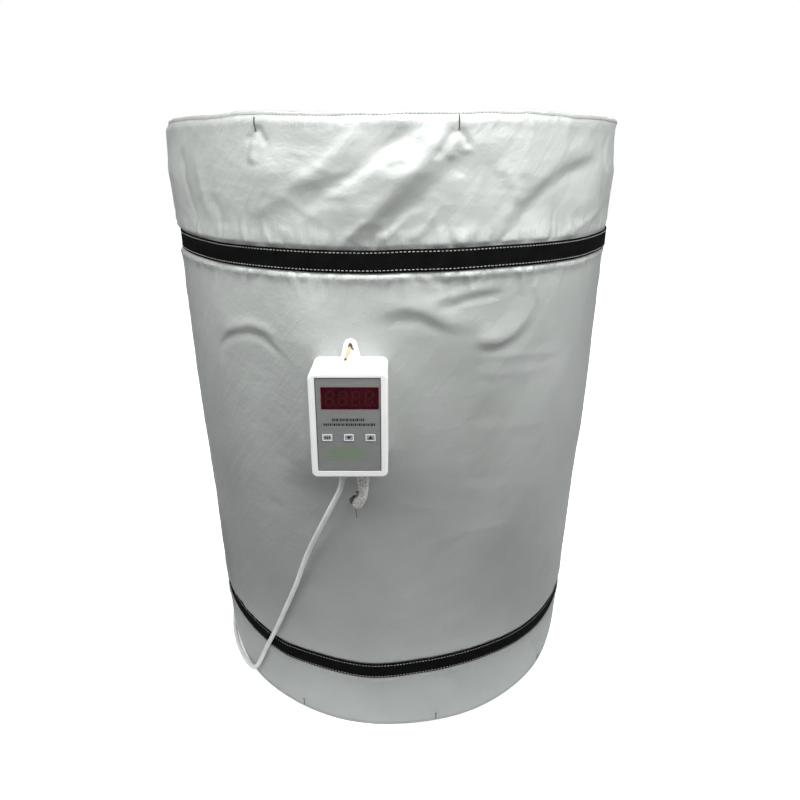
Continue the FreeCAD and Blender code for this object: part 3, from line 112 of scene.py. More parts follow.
def grid_faces(rows, cols, closed=False, start=0):
    """Quads of a grid of points, row by row; each row is a ring where it is closed."""
    r, c = np.meshgrid(np.arange(rows - 1), np.arange(cols if closed else cols - 1), indexing="ij")
    ahead = (c + 1) % cols
    quads = np.stack([r * cols + c, r * cols + ahead, (r + 1) * cols + ahead, (r + 1) * cols + c], -1)
    return quads.reshape(-1, 4) + start


def set_uv(obj, values):
    """Per-point pair of lengths along the cloth, in metres."""
    attribute = obj.data.attributes.new("cloth", "FLOAT_VECTOR", "POINT")
    flat = np.zeros((len(values), 3), np.float32)
    flat[:, :2] = values
    attribute.data.foreach_set("vector", flat.ravel())


def fix_normals(obj):
    """Make the faces look outwards."""
    bm = bmesh.new()
    bm.from_mesh(obj.data)
    bmesh.ops.recalc_face_normals(bm, faces=bm.faces)
    bm.to_mesh(obj.data)
    bm.free()


def circle(centre, side, other, radius, sides):
    """Points round a centre, in the plane of two directions."""
    turns = [2 * math.pi * k / sides for k in range(sides)]
    return [centre + radius * (side * math.cos(t) + other * math.sin(t)) for t in turns]


def sweep(name, path, radius, material, sides):
    """Closed round tube along points in metres, with one radius per point."""
    path = np.array(path, float)
    heading = unit(np.gradient(path, axis=0))
    side = np.cross(heading[0], (0.0, 0.0, 1.0) if abs(heading[0][2]) < 0.9 else (1.0, 0.0, 0.0))
    verts, uvs = [], []
    run = run_along(path)
    for i, point in enumerate(path):
        side = unit(side - heading[i] * np.dot(side, heading[i]))
        verts += circle(point, side, np.cross(heading[i], side), radius[i], sides)
        uvs += [(run[i], 2 * math.pi * k / sides * max(radius)) for k in range(sides)]
    last = len(verts)
    verts += [path[0], path[-1]]
    uvs += [(0, 0), (run[-1], 0)]
    faces = list(grid_faces(len(path), sides, True))
    faces += [(last, (k + 1) % sides, k) for k in range(sides)]
    faces += [(last + 1, last - sides + k, last - sides + (k + 1) % sides) for k in range(sides)]
    obj = new_mesh(name, verts, faces, material)
    set_uv(obj, uvs)
    return obj


def joined_tubes(name, lines, radius, material, sides=6):
    """Several thin round strands as one mesh."""
    verts, faces = [], []
    for line in lines:
        path = np.array(line, float)
        faces += list(grid_faces(len(path), sides, True, len(verts)))
        for point, ahead in zip(path, unit(np.gradient(path, axis=0))):
            side = unit(np.cross(ahead, (0.31, 0.23, 0.92)))
            verts += circle(point, side, np.cross(ahead, side), radius, sides)
    return new_mesh(name, verts, faces, material)


def smooth_line(points, count):
    """Points along a smooth line (Catmull-Rom) through given ones."""
    p = np.array(points, float)
    p = np.vstack([2 * p[0] - p[1], p, 2 * p[-1] - p[-2]])
    out = []
    for s in np.linspace(0, len(points) - 1, count):
        i = min(int(s), len(points) - 2)
        t = s - i
        a, b, c, d = p[i:i + 4]
        bend = (2 * a - 5 * b + 4 * c - d) * t ** 2 + (3 * b - a - 3 * c + d) * t ** 3
        out.append(0.5 * (2 * b + (c - a) * t + bend))
    return np.array(out)


# Materials

def add_node(tree, kind, settings=None, **inputs):
    """New shader node. An input goes by its name, with _ for a space, or by its number as i0."""
    made = tree.nodes.new(kind)
    for key, value in (settings or {}).items():
        setattr(made, key, value)
    for key, value in inputs.items():
        numbered = key[0] == "i" and key[1:].isdigit()
        socket = made.inputs[int(key[1:]) if numbered else key.replace("_", " ")]
        if isinstance(value, bpy.types.NodeSocket):
            tree.links.new(value, socket)
        else:
            socket.default_value = value
    return made


class Paint:
    """A node material, built socket by socket."""

    def __init__(self, name, colour, rough, **inputs):
        self.material = bpy.data.materials.new(name)
        self.material.use_nodes = True
        self.tree = self.material.node_tree
        self.shader = self.tree.nodes["Principled BSDF"]
        for key, value in {"Base_Color": (*colour, 1.0), "Roughness": rough, **inputs}.items():
            self.shader.inputs[key.replace("_", " ")].default_value = value
        self.height = None

    def node(self, kind, settings=None, **inputs):
        return add_node(self.tree, kind, settings, **inputs)

    def link(self, output, socket):
        self.tree.links.new(output, self.shader.inputs[socket])

    def place(self, attribute=None, scale=(1, 1, 1), turn=0.0):
        """Coordinates of the object, or of the cloth, scaled and turned."""
        if attribute:
            source = self.node("ShaderNodeAttribute", {"attribute_name": attribute}).outputs["Vector"]
        else:
            source = self.node("ShaderNodeTexCoord").outputs["Object"]
        return self.node("ShaderNodeMapping", i0=source, Scale=scale, Rotation=(0, 0, turn)).outputs[0]

    def axes(self, attribute=None):
        return self.node("ShaderNodeSeparateXYZ", Vector=self.place(attribute)).outputs

    def noise(self, place, scale, detail=3.0, rough=0.5):
        inputs = dict(Vector=place, Scale=scale, Detail=detail, Roughness=rough)
        return self.node("ShaderNodeTexNoise", None, **inputs).outputs[0]

    def cells(self, place, scale, distance="EUCLIDEAN"):
        return self.node("ShaderNodeTexVoronoi", {"distance": distance}, Vector=place, Scale=scale).outputs[0]

    def maths(self, kind, a, b=0.0, c=0.0):
        return self.node("ShaderNodeMath", {"operation": kind}, i0=a, i1=b, i2=c).outputs[0]

    def lifted(self, wave):
        """A wave from -1 to 1 as a height from 0 to 1."""
        return self.maths("MULTIPLY_ADD", wave, 0.5, 0.5)

    def ramp(self, value, stops):
        made = self.node("ShaderNodeValToRGB", Fac=value)
        band = made.color_ramp
        while len(band.elements) < len(stops):
            band.elements.new(0.5)
        for element, (place, colour) in zip(band.elements, stops):
            element.position = place
            element.color = (*colour, 1.0)
        return made.outputs[0]

    def tint(self, value, stops):
        self.link(self.ramp(value, stops), "Base Color")

    def roughen(self, value, low, high):
        """A value from 0 to 1 drives the roughness between two numbers."""
        made = self.node("ShaderNodeMapRange", Value=value, To_Min=low, To_Max=high)
        self.link(made.outputs[0], "Roughness")

    def bump(self, value, strength, distance):
        """Adds a bump on top of the ones before it."""
        inputs = dict(Strength=strength, Distance=distance, Height=value)
        if self.height is not None:
            inputs["Normal"] = self.height
        self.height = self.node("ShaderNodeBump", None, **inputs).outputs[0]
        self.link(self.height, "Normal")


def weave(paint, period, strength, distance):
    """Plain weave: threads that pass over and under each other."""
    u, v = paint.axes("cloth")[:2]
    across = paint.maths("SINE", paint.maths("MULTIPLY", u, 2 * math.pi / period))
    along = paint.maths("SINE", paint.maths("MULTIPLY", v, 2 * math.pi / period))
    paint.bump(paint.lifted(paint.maths("MULTIPLY", across, along)), strength, distance)


def cover_paint():
    """Silver coated cloth: soft sheen, wide clouds, crisp small creases, gathers at the straps."""
    p = Paint("coated_cloth", (0.50, 0.52, 0.507), 0.60, Metallic=0.36)
    wide = p.noise(p.place("cloth", (1.0, 0.8, 1.0)), 7.0, 3.0, 0.55)
    fine = p.noise(p.place("cloth"), 420.0, 2.0, 0.6)
    p.tint(p.maths("MULTIPLY_ADD", fine, 0.30, wide),
           [(0.32, (0.375, 0.397, 0.381)), (0.60, (0.432, 0.454, 0.438)), (0.90, (0.490, 0.512, 0.497))])
    p.roughen(wide, 0.52, 0.68)
    p.bump(p.noise(p.place("cloth", (1.0, 1.7, 1.0), 0.5), 46.0, 4.0, 0.62), 0.46, 0.0016)
    drawn = p.node("ShaderNodeMapping", i0=p.place("cloth", turn=-0.9), Scale=(7.0, 52.0, 1.0)).outputs[0]
    p.bump(p.noise(drawn, 1.0, 4.0, 0.6), 0.24, 0.0050)
    near = p.node("ShaderNodeAttribute", {"attribute_name": "gather"}).outputs["Fac"]
    pleats = p.noise(p.place("cloth", (85.0, 22.0, 1.0)), 1.0, 3.0, 0.6)
    p.bump(p.maths("MULTIPLY", pleats, near), 0.6, 0.0085)
    weave(p, 0.0011, 0.30, 0.00010)
    return p.material


def lining_paint():
    p = Paint("lining_cloth", (0.60, 0.59, 0.55), 0.82, Sheen_Weight=0.2)
    p.tint(p.noise(p.place(), 9.0, 4.0), [(0.3, (0.50, 0.49, 0.45)), (0.7, (0.66, 0.65, 0.61))])
    weave(p, 0.0013, 0.6, 0.00016)
    return p.material


def felt_paint():
    p = Paint("felt_layer", (0.72, 0.71, 0.68), 0.95, Sheen_Weight=0.3)
    hair = p.noise(p.place(None, (1.0, 1.0, 3.0)), 380.0, 4.0, 0.7)
    p.tint(hair, [(0.3, (0.58, 0.57, 0.54)), (0.7, (0.80, 0.79, 0.76))])
    p.bump(hair, 0.6, 0.0006)
    return p.material


def webbing_paint():
    """Black webbing with slanted ribs and worn places."""
    dark, light = (0.0018, 0.0019, 0.0019), (0.0085, 0.0090, 0.0092)
    p = Paint("black_webbing", dark, 0.92, Specular_IOR_Level=0.05)
    u, v = p.axes("cloth")[:2]
    slant = p.maths("ABSOLUTE", p.maths("SINE", p.maths("MULTIPLY", v, math.pi / 0.0052)))
    phase = p.maths("MULTIPLY_ADD", u, 2 * math.pi / 0.0019, p.maths("MULTIPLY", slant, 4.4))
    rib = p.lifted(p.maths("SINE", phase))
    p.tint(p.maths("MULTIPLY", rib, p.noise(p.place("cloth"), 60.0, 4.0)), [(0.1, dark), (0.55, light)])
    p.bump(rib, 0.9, 0.0006)
    p.bump(p.noise(p.place("cloth"), 900.0, 2.0), 0.25, 0.0001)
    return p.material


def clouded(name, colour, rough, scale, detail, stops, dark, **inputs):
    """Paint that is darker in clouds; gives the paint and the value of the clouds."""
    p = Paint(name, colour, rough, **inputs)
    clouds = p.noise(p.place(), scale, detail)
    p.tint(clouds, [(stops[0], [c * dark for c in colour]), (stops[1], colour)])
    return p, clouds


def thread_paint(name, colour):
    p, strand = clouded(name, colour, 0.7, 1500.0, 2.0, (0.35, 0.65), 0.72, Sheen_Weight=0.3)
    p.bump(strand, 0.4, 0.0001)
    return p.material


def plastic_paint(name, colour, rough=0.42, dirt=0.06):
    p, wide = clouded(name, colour, rough, 24.0, 4.0, (0.35, 0.6), 1 - dirt,
                      Coat_Weight=0.06, Coat_Roughness=0.3)
    p.roughen(wide, rough + 0.05, rough - 0.05)
    p.bump(p.noise(p.place(), 1400.0, 2.0), 0.14, 0.00008)
    return p.material


def metal_paint(name, colour, rough):
    p, scratch = clouded(name, colour, rough, 300.0, 4.0, (0.3, 0.7), 0.82, Metallic=1.0)
    p.roughen(scratch, rough * 0.75, rough * 1.5)
    p.bump(scratch, 0.12, 0.00004)
    return p.material


def jacket_paint(name, colour):
    p, _ = clouded(name, colour, 0.44, 60.0, 4.0, (0.3, 0.65), 0.90)
    p.bump(p.noise(p.place(), 800.0, 2.0), 0.15, 0.00006)
    return p.material


def ink_paint(name, colour, rough=0.5):
    p = Paint(name, colour, rough)
    light = [min(1.0, c * 1.25 + 0.01) for c in colour]
    p.tint(p.noise(p.place(), 500.0, 3.0), [(0.35, colour), (0.75, light)])
    return p.material


def film_paint():
    """Printed film on the front panel: brushed grey, with one faded green field."""
    field = ((0, -0.0535, 0.030), (2, 0.4945, 0.0125))
    p = Paint("panel_film", (0.24, 0.25, 0.25), 0.46, Metallic=0.12)
    brushed = p.noise(p.place(None, (60.0, 60.0, 1400.0)), 1.0, 3.0)
    grey = p.ramp(brushed, [(0.3, (0.215, 0.222, 0.218)), (0.7, (0.27, 0.278, 0.272))])
    axes = p.axes()
    squares = []
    for axis, middle, half in field:
        off = p.maths("DIVIDE", p.maths("SUBTRACT", axes[axis], middle), half)
        squares.append(p.maths("MULTIPLY", off, off))
    share = p.node("ShaderNodeMapRange", {"interpolation_type": "SMOOTHSTEP"}, Value=p.maths("ADD", *squares),
                   From_Min=1.1, From_Max=0.0, To_Min=0.0, To_Max=0.52).outputs[0]
    tint = p.node("ShaderNodeMixRGB", None, Fac=share, Color1=grey, Color2=(0.17, 0.265, 0.13, 1.0))
    p.link(tint.outputs[0], "Base Color")
    p.roughen(p.noise(p.place(), 40.0), 0.38, 0.54)
    p.bump(p.noise(p.place(), 2600.0, 1.0), 0.12, 0.00004)
    return p.material


def window_paint():
    p = Paint("red_filter", (0.040, 0.003, 0.006), 0.13, IOR=1.49, Coat_Weight=0.5, Coat_Roughness=0.05)
    smear = p.noise(p.place(), 90.0, 3.0)
    p.tint(smear, [(0.3, (0.024, 0.003, 0.006)), (0.75, (0.058, 0.004, 0.010))])
    p.roughen(smear, 0.09, 0.22)
    return p.material


def braid_paint():
    """Glass sleeve: crossing white strands, rumpled, with painted shade that darkens the gaps between strands
    and the rumples' hollows.
    """
    p = Paint("glass_braid", (0.70, 0.70, 0.68), 0.62, Sheen_Weight=0.2)
    axes = p.axes("cloth")
    u = p.maths("MULTIPLY", axes[0], 2 * math.pi / 0.0042)
    v = p.maths("MULTIPLY", axes[1], 2 * math.pi / 0.0046)
    left, right = (p.maths("SINE", p.maths(kind, u, v)) for kind in ("ADD", "SUBTRACT"))
    height = p.lifted(p.maths("MULTIPLY", left, right))
    rumpled = p.noise(p.place(), 420.0, 3.0, 0.6)
    # painted shade: the colour darkens where the strands' height and the rumpled bump are low
    strand_shade = p.maths("ADD", p.maths("MULTIPLY", height, 0.30), p.maths("MULTIPLY", rumpled, 0.9))
    p.tint(strand_shade, [(0.36, (0.10, 0.10, 0.095)), (0.50, (0.52, 0.52, 0.50)), (0.64, (0.88, 0.88, 0.86))])
    p.bump(height, 0.7, 0.0006)
    p.bump(rumpled, 0.8, 0.0012)
    return p.material


def board_paint():
    p = Paint("board_green", (0.02, 0.13, 0.06), 0.4, Coat_Weight=0.3)
    p.tint(p.cells(p.place(), 300.0, "MANHATTAN"), [(0.3, (0.015, 0.10, 0.045)), (0.45, (0.03, 0.17, 0.08))])
    return p.material


def bristle_paint(name, scale, colour):
    p = Paint(name, colour, 0.85, Sheen_Weight=0.5)
    dots = p.cells(p.place("cloth"), scale)
    p.tint(dots, [(0.1, [c * 2.2 for c in colour]), (0.6, colour)])
    p.bump(dots, 0.9, 0.0006)
    return p.material


COVER = cover_paint()
LINING = lining_paint()
WEBBING = webbing_paint()
LIGHT_THREAD = thread_paint("light_thread", (0.46, 0.46, 0.42))
GREY_THREAD = thread_paint("grey_thread", (0.34, 0.35, 0.34))
# Dark thread of the edge stitches, darkened so that it also paints the shadow line along the top rim
EDGE_THREAD_AND_SHADE = thread_paint("edge_thread_and_shade", (0.13, 0.135, 0.135))
# Dark thread of the tacks and the tie's end, also used for the painted shade in the slit
DARK_THREAD_AND_SHADE = thread_paint("dark_thread_and_shade", (0.03, 0.03, 0.03))
# Dark colour of the print, also used for the painted shadow line round the panel film
DARK_PRINT_AND_SHADE = ink_paint("dark_print_and_shade", (0.012, 0.013, 0.014))
PALE_INK = ink_paint("pale_ink", (0.82, 0.82, 0.81))
SEGMENT = ink_paint("digit_segment", (0.046, 0.004, 0.008), 0.3)
SEGMENT_RIM = ink_paint("window_rim", (0.30, 0.10, 0.11), 0.4)
JACKET = jacket_paint("cord_jacket", (0.86, 0.87, 0.86))
TIE = jacket_paint("tie_sleeve", (0.50, 0.41, 0.26))
SLEEVE = braid_paint()
TIE_WIRE = metal_paint("tie_wire", (0.16, 0.12, 0.08), 0.4)
HOOK = bristle_paint("hook_strip", 1500.0, (0.020, 0.020, 0.022))
LOOP = bristle_paint("loop_strip", 900.0, (0.030, 0.030, 0.032))

NODE_PAINT = [
    (plastic_paint("case_plastic", (0.90, 0.905, 0.90), dirt=0.04),
     ["controller_case_front", "controller_case_back"]),
    (plastic_paint("gland_plastic", (0.78, 0.79, 0.79), 0.48), ["cord_gland", "lead_gland"]),
    (plastic_paint("key_plastic", (0.33, 0.345, 0.36), 0.5), ["set_key", "down_key", "up_key"]),
    (film_paint(), ["control_overlay"]),
    (window_paint(), ["display_window"]),
    (metal_paint("ring_steel", (0.62, 0.62, 0.61), 0.25), ["upper_strap_ring", "lower_strap_ring"]),
    (metal_paint("screw_steel", (0.55, 0.55, 0.54), 0.35), ["case_screws", "board_screws"]),
    (metal_paint("eyelet_brass", (0.30, 0.27, 0.23), 0.34), ["lead_eyelet"]),
    (metal_paint("pin_brass", (0.74, 0.62, 0.36), 0.22), ["plug_pins"]),
    (jacket_paint("plug_rubber", (0.76, 0.77, 0.76)), ["plug_body"]),
    (felt_paint(), ["insulation_pad"]),
    (thread_paint("heating_tape", (0.70, 0.68, 0.60)), ["heating_tape"]),
    (metal_paint("sensor_steel", (0.66, 0.66, 0.65), 0.22), ["temperature_sensor"]),
    (board_paint(), ["circuit_board"]),
    (plastic_paint("relay_blue", (0.03, 0.10, 0.32)), ["relay"]),
    (metal_paint("core_iron", (0.22, 0.21, 0.20), 0.5), ["power_transformer"]),
    (plastic_paint("terminal_green", (0.05, 0.28, 0.12)), ["terminal_block"]),
    (plastic_paint("module_black", (0.02, 0.02, 0.022), 0.5), ["display_module"]),
    (plastic_paint("switch_black", (0.03, 0.03, 0.03), 0.5), ["key_switches"]),
]
for material, names in NODE_PAINT:
    for name in names:
        for slot in NODES[name].material_slots:
            slot.material = material


# The cover's cloth

# Radius of the cloth at the closure and at the eyelet, and of the hole left round the eyelet
CLOSURE_RADIUS = 305.0
EYELET_FACE, EYELET_HOLE = 316.0, 8.6
# Rays that find the model's cover start at this radius and reach this far inwards
PROBE_RADIUS, PROBE_REACH = 430.0, 135.0
COVER_DATA = NODES["outer_cover"].data
COVER_TREE = BVHTree.FromPolygons([v.co.copy() for v in COVER_DATA.vertices],
                                  [tuple(p.vertices) for p in COVER_DATA.polygons])


def cad_radius(angle, z):
    """Outside radius of the CAD cover in millimetres, or None where it is open."""
    start = Vector(polar(PROBE_RADIUS, angle, z))
    inwards = Vector((-math.sin(angle), math.cos(angle), 0.0))
    hit = COVER_TREE.ray_cast(start, inwards, PROBE_REACH * MM)
    return None if hit[0] is None else math.hypot(hit[0].x, hit[0].y) / MM


def steps(*stations):
    """Values with a changing step: (start, step), (start, step), ..., (end, None)."""
    out = []
    for (a, step), (b, _) in zip(stations, stations[1:]):
        count = max(1, round((b - a) / step))
        out += [a + (b - a) * i / count for i in range(count)]
    return np.array(out + [stations[-1][0]])


LAST = 180.0 - math.degrees(GAP_HALF / CLOSURE_RADIUS)
ANGLES = np.radians(steps((-LAST, 2.6), (-78, 1.0), (-60, 0.48), (58, 1.0), (78, 2.6), (LAST, None)))
HEIGHTS = steps((0.0, 3.0), (12, 4.6), (88, 2.5), (140, 5.4), (540, 3.0), (672, 2.4), (724, 2.5),
                (838, 1.5), (HEIGHT, None))


def base_surface():
    """Calm radius of the cloth, with a soft seat under each strap."""
    grid = np.zeros((len(HEIGHTS), len(ANGLES)))
    for row, z in enumerate(HEIGHTS):
        probe = min(max(z, 0.6), HEIGHT - 0.6)
        for strap_z in STRAP_Z.values():
            off = probe - strap_z
            if abs(off) < STRAP_HALF + 1.0:
                probe = strap_z + math.copysign(STRAP_HALF + 1.0, off if off else 1.0)
        for col, angle in enumerate(ANGLES):
            radius = cad_radius(float(angle), float(probe))
            grid[row, col] = np.nan if radius is None else radius
    calm = np.isnan(grid) | (grid < BORE + 4)
    for row, col in zip(*np.nonzero(calm)):
        near = [grid[row, c] for c in (col - 40, col - 30, col + 30, col + 40)
                if 0 <= c < grid.shape[1] and not calm[row, c]]
        grid[row, col] = np.mean(near) if near else BORE + 16
    return grid


def smoothed(grid, rounds):
    """Soft average over the neighbours, so that the model's facets don't show."""
    for _ in range(rounds):
        padded = np.pad(grid, 1, mode="edge")
        grid = (padded[:-2, 1:-1] + padded[2:, 1:-1] + padded[1:-1, :-2] + padded[1:-1, 2:] + 2 * grid) / 6
    return grid


THETA, ZED = np.meshgrid(ANGLES, HEIGHTS)
ARC = THETA * MEAN_RADIUS


def lattice(u, v, seed):
    """Smooth value noise from 0 to 1."""
    size = 512
    table = np.random.default_rng(seed).random((size, size))
    iu, iv = np.floor(u).astype(int), np.floor(v).astype(int)
    fu, fv = u - iu, v - iv
    fu, fv = fu * fu * (3 - 2 * fu), fv * fv * (3 - 2 * fv)
    a = table[iv % size, iu % size]
    b = table[iv % size, (iu + 1) % size]
    c = table[(iv + 1) % size, iu % size]
    d = table[(iv + 1) % size, (iu + 1) % size]
    return (a * (1 - fu) + b * fu) * (1 - fv) + (c * (1 - fu) + d * fu) * fv


def bell(off, width):
    return np.exp(-(off / width) ** 2)


def fold(points, height, above, below, fade=0.18):
    """Ridge (or valley, if height is negative) of the cloth along a line of (degrees, z)
    places. above and below are its half widths on the left and right of the line's run."""
    line = np.array([(math.radians(a) * MEAN_RADIUS, z) for a, z in points], float)
    reach = 4.0 * max(above, below)
    u0, v0 = line.min(0) - reach
    u1, v1 = line.max(0) + reach
    rows = np.nonzero((HEIGHTS > v0) & (HEIGHTS < v1))[0]
    cols = np.nonzero((ARC[0] > u0) & (ARC[0] < u1))[0]
    if not len(rows) or not len(cols):
        return np.zeros_like(ARC)
    part = np.ix_(rows, cols)
    u, v = ARC[part], ZED[part]
    seg = np.diff(line, axis=0)
    length = np.hypot(seg[:, 0], seg[:, 1])
    total, run = length.sum(), 0.0
    best = np.full(u.shape, 1e9)
    side = np.zeros(u.shape)
    along = np.zeros(u.shape)
    for (a, b), (du, dv), size in zip(line, seg, length):
        t = np.clip(((u - a) * du + (v - b) * dv) / size ** 2, 0, 1)
        eu, ev = u - a - t * du, v - b - t * dv
        dist = np.hypot(eu, ev)
        nearer = dist < best
        best = np.where(nearer, dist, best)
        side = np.where(nearer, du * ev - dv * eu, side)
        along = np.where(nearer, (run + t * size) / total, along)
        run += size
    width = np.where(side >= 0, above, below)
    taper = np.clip(along / fade, 0.12, 1) * np.clip((1 - along) / fade, 0.12, 1) if fade else 1.0
    out = np.zeros_like(ARC)
    out[part] = height * bell(best, width) * taper
    return out


# How the straps hang a little uneven: places round the axis in degrees and shift in mm
STRAP_SHIFT = {
    "upper": [(-125, 0), (-80, 3), (-60, 2.2), (-50, 0.8), (-41, -1.2), (-15, -1.8), (-3, -1.4), (2, 0.2),
              (10, 0.3), (22, 1.8), (46, 1.6), (56, 3.2), (66, 4.2), (90, 3), (125, 0)],
    "lower": [(-125, 0), (-80, 8), (-62, 8.4), (-55, 8), (-46, 4.6), (-41, 1.6), (-33, -4.2), (-27, -0.8),
              (-20, 0), (-13, -1.4), (-7, -2.6), (0, 1.4), (6, 6), (17, 8.6), (28, 8.2), (37, 4.8), (49, 2),
              (57, 3), (65, 6.4), (85, 6), (125, 0)],
}


def strap_shift(name, angle):
    """Shift of a strap's middle from its height, with its corners softened."""
    turned = np.degrees(angle)
    return sum(between(STRAP_SHIFT[name], turned + d) for d in (-2.4, -0.8, 0.8, 2.4)) / 4


STRAP_OFF = {name: ZED - z - strap_shift(name, THETA) for name, z in STRAP_Z.items()}

# Folds and creases seen in the photograph: line, height, half widths left and right of it
SEEN_FOLDS = [
    # upper band: the broad ridge that runs down from beside the second tack, and its valleys
    ([(10.4, 838), (8.6, 824), (6.4, 808), (4.2, 795), (0.2, 768), (-4.8, 742), (-9.8, 718)], 2.9, 10, 15),
    ([(5.4, 838), (1.6, 824), (-2.2, 810), (-7.2, 789), (-13.4, 769), (-19, 750)], -1.9, 7, 9),
    ([(-5.6, 838), (-9.9, 812), (-15, 789), (-20.2, 774)], 1.7, 10, 8),
    ([(13.6, 812), (11.2, 796), (8.4, 779), (4.4, 758), (0.4, 740), (-3, 724)], -1.25, 8, 11),
    ([(49.9, 814), (40.6, 803), (33.9, 790), (29.4, 774), (24.8, 751), (20.9, 731), (18.8, 718)], 1.6, 9, 13),
    ([(51.6, 803), (39.3, 787), (33, 769), (28.1, 747), (24.5, 722)], -1.0, 7, 10),
    ([(-16.8, 748), (-14.2, 758), (-11.2, 760), (-7.9, 757)], -0.8, 7, 6),
    ([(-18.4, 756), (-15, 766), (-10.6, 768)], 0.5, 6, 7),
    ([(-1.4, 797), (0.8, 804), (2.7, 800)], 0.9, 4, 4),
    ([(13.9, 812), (12.4, 784)], -1.1, 7, 7),
    ([(-9.4, 719), (-7.2, 732), (-4.1, 744)], 0.9, 4, 4),
    ([(-3.6, 716), (-0.3, 730), (3.1, 747)], 1.0, 4, 5),
    ([(2.8, 716), (6.1, 734), (8.5, 751)], 0.8, 5, 4),
    ([(38.4, 719), (46, 728), (55.4, 748)], 0.9, 7, 7),
    ([(-53.4, 815), (-53.1, 778), (-50.1, 738)], -1.3, 7, 7),
    ([(-46.6, 815), (-45.4, 768), (-43.1, 728)], 1.1, 8, 9),
    ([(-38.6, 724), (-40, 745), (-41.9, 764)], -1.0, 6, 8),
    ([(54.8, 832), (55, 736)], -0.9, 7, 8),
    ([(20, 800), (24, 778), (27, 752)], 0.8, 8, 8),
    ([(-31, 740), (-25, 756), (-20, 772)], 0.8, 8, 8),
    # tacks at the top edge: creases like an upturned V, with a full pocket of cloth between
    ([(-27.3, 835), (-28.4, 827), (-30.2, 818)], -1.5, 3.5, 3.5),
    ([(-27.1, 835), (-26.3, 827), (-25.2, 816)], -1.5, 3.5, 3.5),
    ([(-28.0, 822), (-28.4, 810), (-28.7, 796)], 1.5, 5.5, 5.5),
    ([(12.4, 833), (13.2, 824), (14.6, 813)], -1.3, 3.5, 3.5),
    ([(12.0, 833), (10.6, 824), (9.0, 812), (7.6, 803)], -1.1, 3.5, 4.5),
    ([(11.9, 827), (11.2, 815), (10.4, 801)], 1.3, 5, 5),
    # middle: the arch on the left, and the long wavy ridge on the right
    ([(-46.3, 556), (-44.6, 580), (-40, 596), (-33.8, 603), (-30, 600), (-26.8, 591), (-22.6, 578)],
     -2.0, 4, 7),
    ([(-43.4, 594), (-38.4, 609), (-33.4, 615), (-29.2, 612), (-25.4, 602)], 2.1, 8, 5),
    ([(-6.5, 630), (-1.7, 643), (2.3, 647), (6.5, 642), (10.7, 626), (14.5, 612), (18.7, 603),
      (22.9, 602), (26.6, 611), (29.9, 626), (32.3, 648)], 2.9, 15, 6),
    ([(-3, 622), (1, 630), (5.5, 630), (9.2, 616), (14, 599)], -2.2, 6, 9),
    ([(17, 589), (23, 588), (28.5, 599), (32.5, 618)], -1.6, 6, 9),
    ([(9.6, 643), (13.8, 650), (18.2, 655), (24.1, 658)], -1.2, 4, 5),
    ([(7.5, 652), (13.7, 661), (22.7, 668)], 1.1, 5, 5),
    ([(31.6, 668), (32.4, 656), (33.3, 642)], 1.5, 4, 4),
    ([(12, 590), (24, 583), (43, 571)], 0.7, 5, 5),
    ([(12, 566), (26, 560), (43.8, 548)], 0.6, 6, 6),
    ([(6, 497), (24, 488), (46.9, 469)], 0.6, 7, 7),
    ([(-1, 454), (3, 462), (7.1, 470)], -0.7, 4, 4),
    ([(11, 411), (26, 400), (45.7, 381)], 0.5, 8, 8),
    ([(0.4, 392), (5, 389), (11.1, 384)], 0.5, 4, 4),
    ([(6.5, 325), (12.7, 334), (17.8, 344), (31.1, 337)], 0.7, 5, 5),
    ([(33.3, 363), (41.3, 349)], -0.5, 4, 4),
    ([(-33.5, 369), (-23.6, 361)], -0.6, 5, 5),
    ([(-30, 449), (-25, 442), (-20.4, 436)], -0.8, 4, 5),
    ([(-33.6, 448), (-36, 300), (-39.8, 150)], -0.6, 7, 7),
    ([(-8.7, 386), (-8.9, 370)], -0.8, 2, 2),
    # lower edge
    ([(13.2, 96), (17, 74), (20.6, 46)], -1.7, 5, 5),
    ([(16, 96), (20, 76), (24, 50)], 1.2, 6, 6),
    ([(-24, 95), (-19, 84)], -1.2, 4, 4),
    ([(44.4, 92), (50, 50), (54.4, 8)], -1.4, 6, 6),
    ([(-27.6, 34), (-27.6, 14)], -1.0, 5, 5),
    ([(12.4, 34), (12.4, 10)], -1.2, 6, 6),
    ([(54.8, 34), (54.8, 10)], -1.2, 6, 6),
    ([(-34, 40), (-18, 30), (-6, 34)], 1.0, 8, 8),
]

